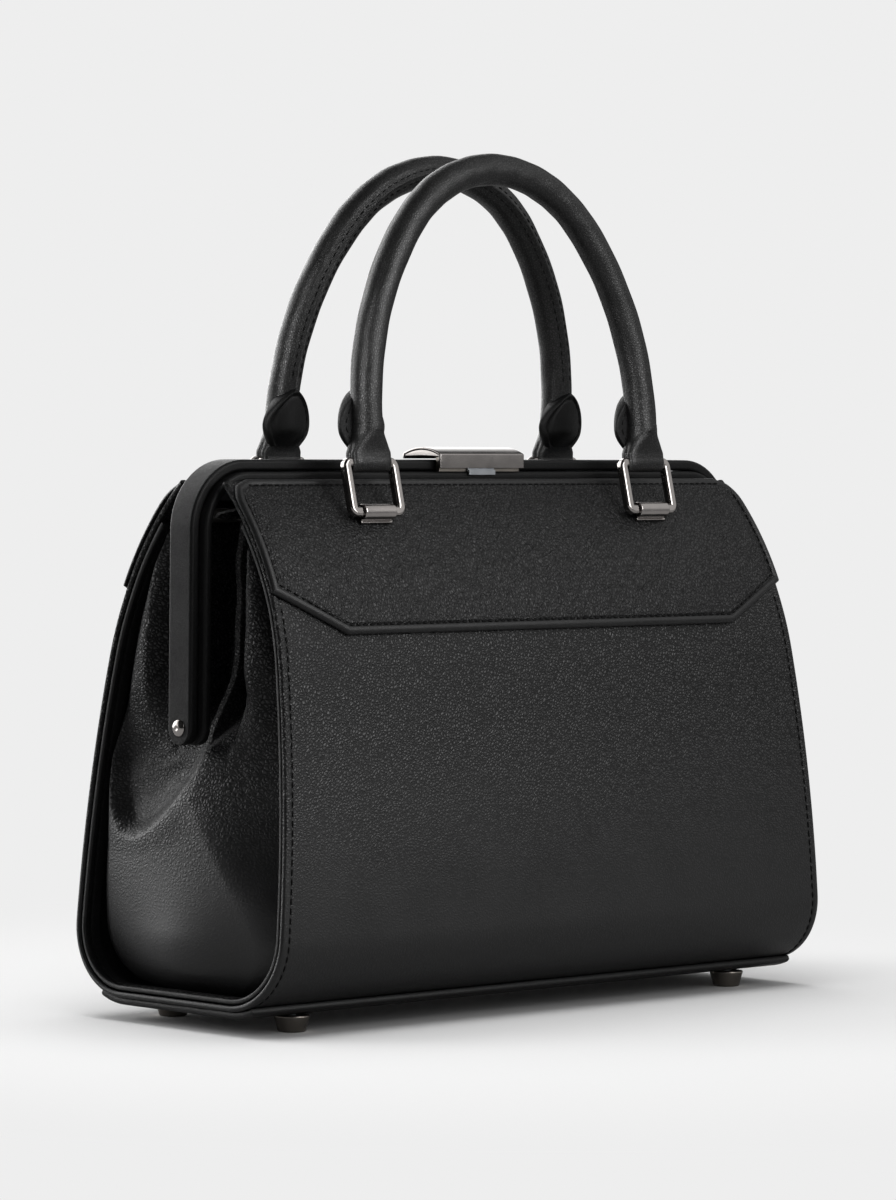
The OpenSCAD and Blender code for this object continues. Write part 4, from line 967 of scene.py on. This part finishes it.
# %% Handle line
handle_foot, handle_rise, crown_r, tube_r, handle_lean = 16.0, 92.0, 60.0, 5.85, np.radians(5.0)
bend = 2 * np.arctan((handle_half - crown_r) / (handle_rise - crown_r))
flank_r = crown_r + (handle_rise - crown_r) / np.sin(bend)
a, b = np.linspace(0, bend, 60)[1:], np.linspace(bend, np.pi / 2, 60)[1:]
handle_line = mirror_line(np.concatenate([
    grid_of(handle_half, np.linspace(11.0, handle_foot, 6)),
    grid_of(handle_half - flank_r + flank_r * np.cos(a), handle_foot + flank_r * np.sin(a)),
    grid_of(crown_r * np.cos(b), handle_foot + handle_rise - crown_r + crown_r * np.sin(b))]))
along = np.gradient(handle_line, axis=0)
along /= np.linalg.norm(along, axis=1, keepdims=True)
handle_out = grid_of(along[:, 1], -along[:, 0])
print("handle centre line", round(float(lengths(handle_line)[-1]), 1), "mm")

# %% Handle tubes
a = np.linspace(0, 2 * np.pi, 56, endpoint=False)
# The seam sits on the side that faces the bag's middle, which is -Y in the handle's frame
off_seam = np.angle(np.exp(1j * (a + np.pi / 2)))
ridge = 0.75 * bell(off_seam, 0.13) - 0.25 * bell(np.abs(off_seam) - 0.42, 0.12)
station = np.arange(len(handle_line))[:, None]
soft = 0.06 * np.sin(station * 0.21 + 2 * a) + 0.05 * np.sin(station * 0.47 - 3 * a)
radius = tube_r + ridge + soft
lift = radius * np.cos(a)
tube_grid = grid_of(handle_line[:, :1] + handle_out[:, :1] * lift, radius * np.sin(a),
                    handle_line[:, 1:] + handle_out[:, 1:] * lift)
line, away = handle_line[16:-16], handle_out[16:-16]
for part, side in SIDES.items():
    there = (handle_lean, ring_top_y, ring_top_z, side)
    tube = rod(part + "_handle_leather", leaned(tube_grid, *there), rolled_calf, part + "_handle")
    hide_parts(part + "_handle_cover")
    for word, angle in (("inner", -np.pi / 2 - 0.3), ("outer", -np.pi / 2 + 0.3)):
        spoke = grid_of(away[:, 0] * np.cos(angle), np.sin(angle), away[:, 1] * np.cos(angle))
        path = grid_of(line[:, 0], 0.0, line[:, 1]) + spoke * (tube_r - 0.05)
        path_here = leaned(path, *there)
        out = leaned(path + spoke, *there) - path_here
        stitches("%s_handle_%s_stitching" % (part, word), path_here, out, part + "_handle", length=2.0, thick=0.45)

# %% [markdown]
# ## Handle ends
# Each end of the handle is flattened, taken round the ring and sewn back on itself. The end is a stack of soft
# rectangles that go from the loop's round foot to the tube's circle. Behind it lies a leaf of smooth calf with
# a stitched edge, which hides the join.

# %% Straps
z_end = np.concatenate([-3.55 * np.cos(np.linspace(0, np.pi / 2, 9)), np.linspace(0.6, 14.0, 40)])
end_r, loop_half = tube_r + 0.12, 9.3
loop_depth = np.sqrt(np.maximum(3.6 ** 2 - z_end ** 2, 0.05))
flat_depth = 3.3 + (end_r - 3.3) * smooth((z_end - 3.0) / 10.0)
depth_half = np.where(z_end < 0, loop_depth, np.maximum(flat_depth, loop_depth))
width_half = loop_half + (end_r - loop_half) * np.sin(np.pi / 2 * np.clip((z_end - 3.5) / 10.5, 0, 1))
# The section is |x|^p + |y|^p = 1, from nearly square at the loop to round at the tube
power = (5.0 - 3.0 * smooth((z_end - 2) / 9))[:, None]
a = np.linspace(0, 2 * np.pi, 72, endpoint=False)
c, s = np.cos(a), np.sin(a)
scale = (np.abs(c) ** power + np.abs(s) ** power) ** (-1 / power)
# A seam runs up each side between the strap's two layers, and fades where they join the tube
slit = 0.07 * bell(s, 0.12) * (1 - smooth((z_end[:, None] - 4) / 4))
end_grid = grid_of(width_half[:, None] * scale * c * (1 - slit), depth_half[:, None] * scale * s, z_end[:, None])

# %% Leaves
LEAF_LOW, LEAF_TIP, LEAF_WIDE, LEAF_FOOT_HALF, LEAF_HALF = 5.6, 26.8, 13.6, 7.2, 11.2


def leaf_half(z):
    """Half the leaf's width: a quarter sine from its foot to its widest, then 1 - t^1.6 to the power 0.78."""
    t = np.clip((z - LEAF_LOW) / (LEAF_WIDE - LEAF_LOW), 0, 1)
    foot_half = LEAF_FOOT_HALF + (LEAF_HALF - LEAF_FOOT_HALF) * np.sin(np.pi / 2 * t)
    t = np.clip((z - LEAF_WIDE) / (LEAF_TIP - LEAF_WIDE), 0, 1)
    return np.where(z < LEAF_WIDE, foot_half, LEAF_HALF * (1 - t ** 1.6) ** 0.78)


def leaf_face(x, z):
    """Depth of the leaf's outer face: an arch that rises out of the strap at its foot, 1.2 mm over it in the middle
    and 3 mm deep at its sides."""
    crown_depth = np.interp(z, z_end, depth_half) + 0.1 + 1.1 * smooth((z - LEAF_LOW) / 6)
    return -(3.0 + (crown_depth - 3.0) * (1 - (x / 11.6) ** 2))


z_leaf = np.concatenate([LEAF_LOW + EDGE[:10], np.linspace(9.9, LEAF_WIDE, 8),
                         LEAF_WIDE + (LEAF_TIP - LEAF_WIDE) * np.sin(np.linspace(0, np.pi / 2, 30))[1:]])[:, None]
u_edge = np.array([0.74, 0.8, 0.86, 0.92, 0.96, 0.985, 1])
u_leaf = np.concatenate([-u_edge[::-1], np.linspace(-0.66, 0.66, 23), u_edge])
wide = np.maximum(leaf_half(z_leaf), 0.15)
x_leaf = wide * u_leaf
near = np.minimum(wide - np.abs(x_leaf), LEAF_TIP - z_leaf) * 0.9
back_face = leaf_face(x_leaf, z_leaf) - 0.55 * bell(near - 1.0, 0.75) + groove(near, 2.4, 0.35, 0.4)
back_face = back_face + turned(near, 0.9)
# The side towards the tube is flat, and its margin shows on both sides of the tube
front_face = -(0.9 + 0.11 * np.abs(x_leaf)) - 0.4 * turned(near, 0.9)
leaf_grids = [grid_of(x_leaf, face, z_leaf) for face in (back_face, front_face)]
t = np.linspace(LEAF_LOW + 2.3, LEAF_TIP - 1.6, 90)
edge_x = np.maximum(leaf_half(t) - 2.4, 0.2)
seam_x, seam_z = np.concatenate([-edge_x, edge_x[::-1]]), there_and_back(t)
leaf_seam = grid_of(seam_x, leaf_face(seam_x, seam_z) + 0.15, seam_z)
t = np.linspace(LEAF_LOW + 1.5, 20.0, 40)
margin = np.maximum(leaf_half(t) - 2.6, 6.4)
margin_seam = grid_of(margin, -(0.8 + 0.11 * margin), t)

# %% Straps and leaves in place
for part, side, word, hand in CORNERS:
    name, body = "%s_%s_strap" % (part, word), part + "_handle"
    there = (handle_lean, ring_top_y, ring_top_z, side, hand * handle_half)
    end = rod(name + "_end", leaned(end_grid, *there), rolled_calf, body)
    leaf = sheet(name + "_leaf", *(leaned(grid, *there) for grid in leaf_grids), leaf_calf, body)
    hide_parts(name)
    # Only the outer face is the dull calf; the margin and the side towards the tube are smooth calf
    add_slot(leaf, smooth_calf, np.arange(len(leaf.data.polygons)) >= (len(z_leaf) - 1) * (len(u_leaf) - 1))
    path = leaned(leaf_seam, *there)
    out = leaned(leaf_seam + [0, -1, 0], *there) - path
    stitches(name + "_leaf_stitching", path, out, body, length=1.9, thick=0.4)
    for edge_word, turn in HANDS.items():
        line = margin_seam * [turn, 1, 1]
        path = leaned(line, *there)
        out = leaned(line + [0, 1, 0], *there) - path
        stitches("%s_%s_margin_stitching" % (name, edge_word), path, out, body, length=2.0, thick=0.5)
print("handles and straps made")

# %% [markdown]
# ## Latch
# The cap is pressed sheet: an arch over both bars with a flat lip in front. The button under the lip slides
# along a slot in the plate behind it.

# %% Latch cap
cap_half, cap_edge, cap_top, cap_low, lip_low, cap_t = 9.9, 203.2, 205.6, 201.3, 198.0, 0.8
cap_r = (cap_half ** 2 + (cap_top - cap_edge) ** 2) / (2 * (cap_top - cap_edge))


def cap_arc(y, inset):
    """Height of the cap's arch at y, set in from its outer face."""
    return cap_top - cap_r + np.sqrt((cap_r - inset) ** 2 - y ** 2)


y, y_in = (np.linspace(-reach, reach, 40) for reach in (cap_half - 0.35, cap_half - cap_t))
outer_arc, inner_arc = grid_of(y, cap_arc(y, 0)), grid_of(y_in, cap_arc(y_in, cap_t))[::-1]
lip = np.array([[-9.12, cap_edge - 0.9], [-9.12, lip_low + 0.15], [-9.25, lip_low], [-9.75, lip_low],
                [-9.9, lip_low + 0.15], [-9.9, cap_edge - 0.35], [-9.8, cap_edge - 0.08]])
rear_rim = np.array([[9.82, cap_edge - 0.08], [9.9, cap_edge - 0.3], [9.9, cap_low + 0.1], [9.8, cap_low],
                     [9.2, cap_low], [9.1, cap_low + 0.1]])
profile = np.concatenate([outer_arc, rear_rim, inner_arc, lip])
edge_x, edge_in = np.array([22, 21.93, 21.75, 21.4, 18]), np.array([0.3, 0.14, 0.04, 0, 0])
ends, inset = np.concatenate([-edge_x, edge_x[::-1]]), there_and_back(edge_in)
middle = np.array([0.0, 202.6])
section = middle + (profile - middle) * grid_of(1 - inset / 9.9, 1 - inset / 4.0)[:, None]
cap_grid = grid_of(ends[:, None], section[..., 0], section[..., 1])
rows, cols = cap_grid.shape[:2]
n_arc, n_rim = len(outer_arc), len(rear_rim)


def fan(ids):
    """Triangles from the first of a row of points to the others, as quads with a repeated corner."""
    return grid_of(ids[0], ids[1:-1], ids[2:], ids[2:])


# Each end is closed by a ladder between the outer and the inner arc, then round the rim and the lip
pair = np.arange(n_arc - 1)
inner = 2 * n_arc + n_rim - 1 - pair
end_cap = np.concatenate([grid_of(pair, pair + 1, inner - 1, inner), fan(np.arange(n_arc - 1, n_arc + n_rim + 1)),
                          fan(np.arange(cols - len(lip) - 1, cols + 1) % cols)])
quads = np.concatenate([tube_quads(rows, cols), end_cap[:, ::-1], end_cap + (rows - 1) * cols])
cap = piece("latch_cap_pressing", cap_grid.reshape(-1, 3), quads, gunmetal, "front_frame", weighted=True)
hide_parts("latch_cap")

# %% Latch cap ends
y, rise, end_low = np.linspace(-9.15, 9.15, 30), np.linspace(0, 1, 8)[:, None], 202.35
for word, hand in HANDS.items():
    face = grid_of(hand * (21.55 + 0.3 * quarter(2 * (1 - rise))), y, end_low + (cap_arc(y, 0.4) - end_low) * rise)
    sheet("latch_cap_%s_end" % word, face, face - [hand * 0.7, 0, 0], gunmetal, "front_frame", weighted=True)
print("latch made")

# %% [markdown]
# ## Finishes for the solids that stay
# Cores, rails, plates and screws are already the right shape, so they keep their solids. On the latch plate and
# slider, the rails and the back plates a weld joins loose triangles and a small bevel breaks the edges, which no real
# part leaves sharp.

# %% Carried-over solids
finish = {
    fibreboard: ["base_board"],
    satin_gunmetal: ["latch_plate"],
    twisted_cord: ["front_handle_core", "rear_handle_core"],
    bare_steel: ["foot_screws", "hinge_washers", "front_frame_core", "rear_frame_core", "front_rail", "rear_rail",
                 "front_back_plates", "rear_back_plates", "latch_slider", "latch_keeper"]}
for material, nodes in finish.items():
    for node in nodes:
        solid = frame["nodes"][node]
        if not solid.material_slots:
            solid.data.materials.append(material)
        for slot in solid.material_slots:
            slot.material = material
for node in ("latch_plate", "latch_slider", "front_rail", "rear_rail", "front_back_plates", "rear_back_plates"):
    solid = frame["nodes"][node]
    solid.modifiers.new("join", "WELD").merge_threshold = 1e-6
    edge = solid.modifiers.new("broken_edges", "BEVEL")
    edge.width, edge.segments, edge.limit_method, edge.angle_limit = 0.00012, 2, "ANGLE", np.radians(40)
print("solids finished:", sum(map(len, finish.values())))

# %% [markdown]
# The latch's return spring is a coil of ten turns in the place of the solid's sleeve.

# %% Latch spring
def box_of(node):
    """The low and the high corner of a solid's box, in mm."""
    vertices = frame["nodes"][node].data.vertices
    points = np.empty((len(vertices), 3), np.float32)
    vertices.foreach_get("co", points.ravel())
    return points.min(0) / MM, points.max(0) / MM


low, high = box_of("latch_spring")
wire_r, coil_r, coil_mid = 0.16, (high[2] - low[2]) / 2 - 0.2, (low + high) / 2
turn = np.linspace(0, 20 * np.pi, 400)
spoke = grid_of(0.0, np.cos(turn), np.sin(turn))
heart = grid_of(low[0] + 0.25 + (high[0] - low[0] - 0.5) * turn / turn[-1], coil_mid[1] + coil_r * np.cos(turn),
                coil_mid[2] + coil_r * np.sin(turn))
a = np.linspace(0, 2 * np.pi, 10, endpoint=False)[:, None]
wire = wire_r * (np.cos(a) * spoke[:, None] + np.sin(a) * np.array([1, 0, 0]))
coil = rod("latch_spring_coil", heart[:, None] + wire, bare_steel, "front_frame")
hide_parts("latch_spring")
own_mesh(coil)

# %% [markdown]
# ## Studio
# The floor is pale paper that runs out to the same grey as the background. A soft box behind on the left and a
# broad one overhead light it. What the leather and the metal mirror is a dark studio with a bright window
# behind the bag, and two small boxes draw the highlights on the handles and on the grain of the front.

# %% Floor
BACKGROUND = "#eeeeee"
floor_mesh = bpy.data.meshes.new("pale_floor")
floor_mesh.from_pydata([(-6, -6, 0), (6, -6, 0), (6, 6, 0), (-6, 6, 0)], [], [(0, 1, 2, 3)])
floor = new_object("pale_floor", floor_mesh)
paper = bpy.data.materials.new("pale_studio_paper")
paper.use_nodes = True
tree = paper.node_tree
tree.nodes.clear()
place = add(tree, "TexCoord").outputs["Object"]
fibre = add(tree, "TexNoise", {"Vector": place, "Scale": 900.0, "Detail": 2.0})
colour = tint(tree, fibre, "#e4e4e4", "#e9e9e9")
rays = add(tree, "LightPath").outputs
# In reflections the paper is painted dimmer: painted shade that stands in for the dark studio in front of it
reflected_paper_painted_dim = add(tree, "Mix", {0: rays["Is Glossy Ray"], 6: colour, 7: linear("#b4b4b4")}, data_type="RGBA").outputs[2]
lit = add(tree, "BsdfDiffuse", {"Color": reflected_paper_painted_dim})
glow = add(tree, "Emission", {"Color": linear(BACKGROUND), "Strength": 1.0})
away = add(tree, "VectorMath", {0: place}, operation="LENGTH").outputs["Value"]
near_far = spread(tree, away, 0.15, 0.4, 0.0, 1.0, "SMOOTHSTEP")
share = add(tree, "Math", {0: near_far, 1: rays["Is Camera Ray"]}, operation="MULTIPLY")
add(tree, "OutputMaterial", {"Surface": add(tree, "MixShader", {0: share, 1: lit, 2: glow})})
floor_mesh.materials.append(paper)

# %% World
world = bpy.data.worlds.new("studio")
bpy.context.scene.world = world
world.use_nodes = True
tree = world.node_tree
tree.nodes.clear()
rays = add(tree, "LightPath").outputs
direction = add(tree, "TexCoord").outputs["Generated"]


def lobe(towards, start, end, low, high):
    """Light that grows from low to high as a reflection turns towards a direction, by their dot product."""
    facing = add(tree, "VectorMath", {0: direction, 1: towards}, operation="DOT_PRODUCT").outputs["Value"]
    return spread(tree, facing, start, end, low, high, "SMOOTHSTEP")


# The bright window behind the bag, and a pale wall on the right
window, pale_wall = lobe((0.0, 1.0, 0.0), 0.45, 0.95, 0.03, 6.5), lobe((0.7, -0.4, 0.6), 0.6, 1.0, 0.0, 1.0)
mirrored = add(tree, "Math", {0: window, 1: pale_wall}, operation="ADD")
soft = add(tree, "Mix", {0: rays["Is Glossy Ray"], 2: 0.6, 3: mirrored})
strength = add(tree, "Mix", {0: rays["Is Camera Ray"], 2: soft, 3: 1.0})
sky = add(tree, "Background", {"Color": linear(BACKGROUND), "Strength": strength})
add(tree, "OutputWorld", {"Surface": sky})

# %% Lamps
def softbox(name, where, at, size, watts):
    """A rectangular area lamp at where, in metres, that looks at a point."""
    data = bpy.data.lights.new(name, "AREA")
    data.shape, data.size, data.size_y, data.energy = "RECTANGLE", *size, watts
    lamp = new_object(name, data)
    lamp.location = where
    lamp.rotation_euler = (Vector(where) - Vector(at)).to_track_quat("Z", "Y").to_euler()
    return lamp


behind = softbox("left_softbox", (-1.3, 0.9, 0.8), (0, 0, 0.12), (0.8, 1.0), 6)
overhead = softbox("overhead_softbox", (-0.1, 0.0, 1.6), (0, 0, 0.1), (1.4, 1.4), 19.5)
# These two light the paper and give no highlight of their own
behind.visible_glossy = overhead.visible_glossy = False
# Two boxes only draw highlights: one down the handles, one over the grain of the front
left_key = softbox("left_key", (-1.3, -0.5, 0.6), (0, 0, 0.25), (0.35, 0.7), 19)
front_card = softbox("front_card", (0.04, -0.5, 0.4), (-0.08, -0.05, 0.17), (0.4, 0.4), 3.7)
left_key.visible_diffuse = front_card.visible_diffuse = False
# Flags keep the first box off everything but the handles
flagged = bpy.data.collections.new("handles_only")
for thing in bpy.data.objects:
    if thing.type == "MESH" and ("_handle_leather" in thing.name or "_strap_" in thing.name):
        flagged.objects.link(thing)
left_key.light_linking.receiver_collection = flagged

# %% Colour management and the end
bpy.context.scene.view_settings.view_transform = "Standard"
print("pieces made")
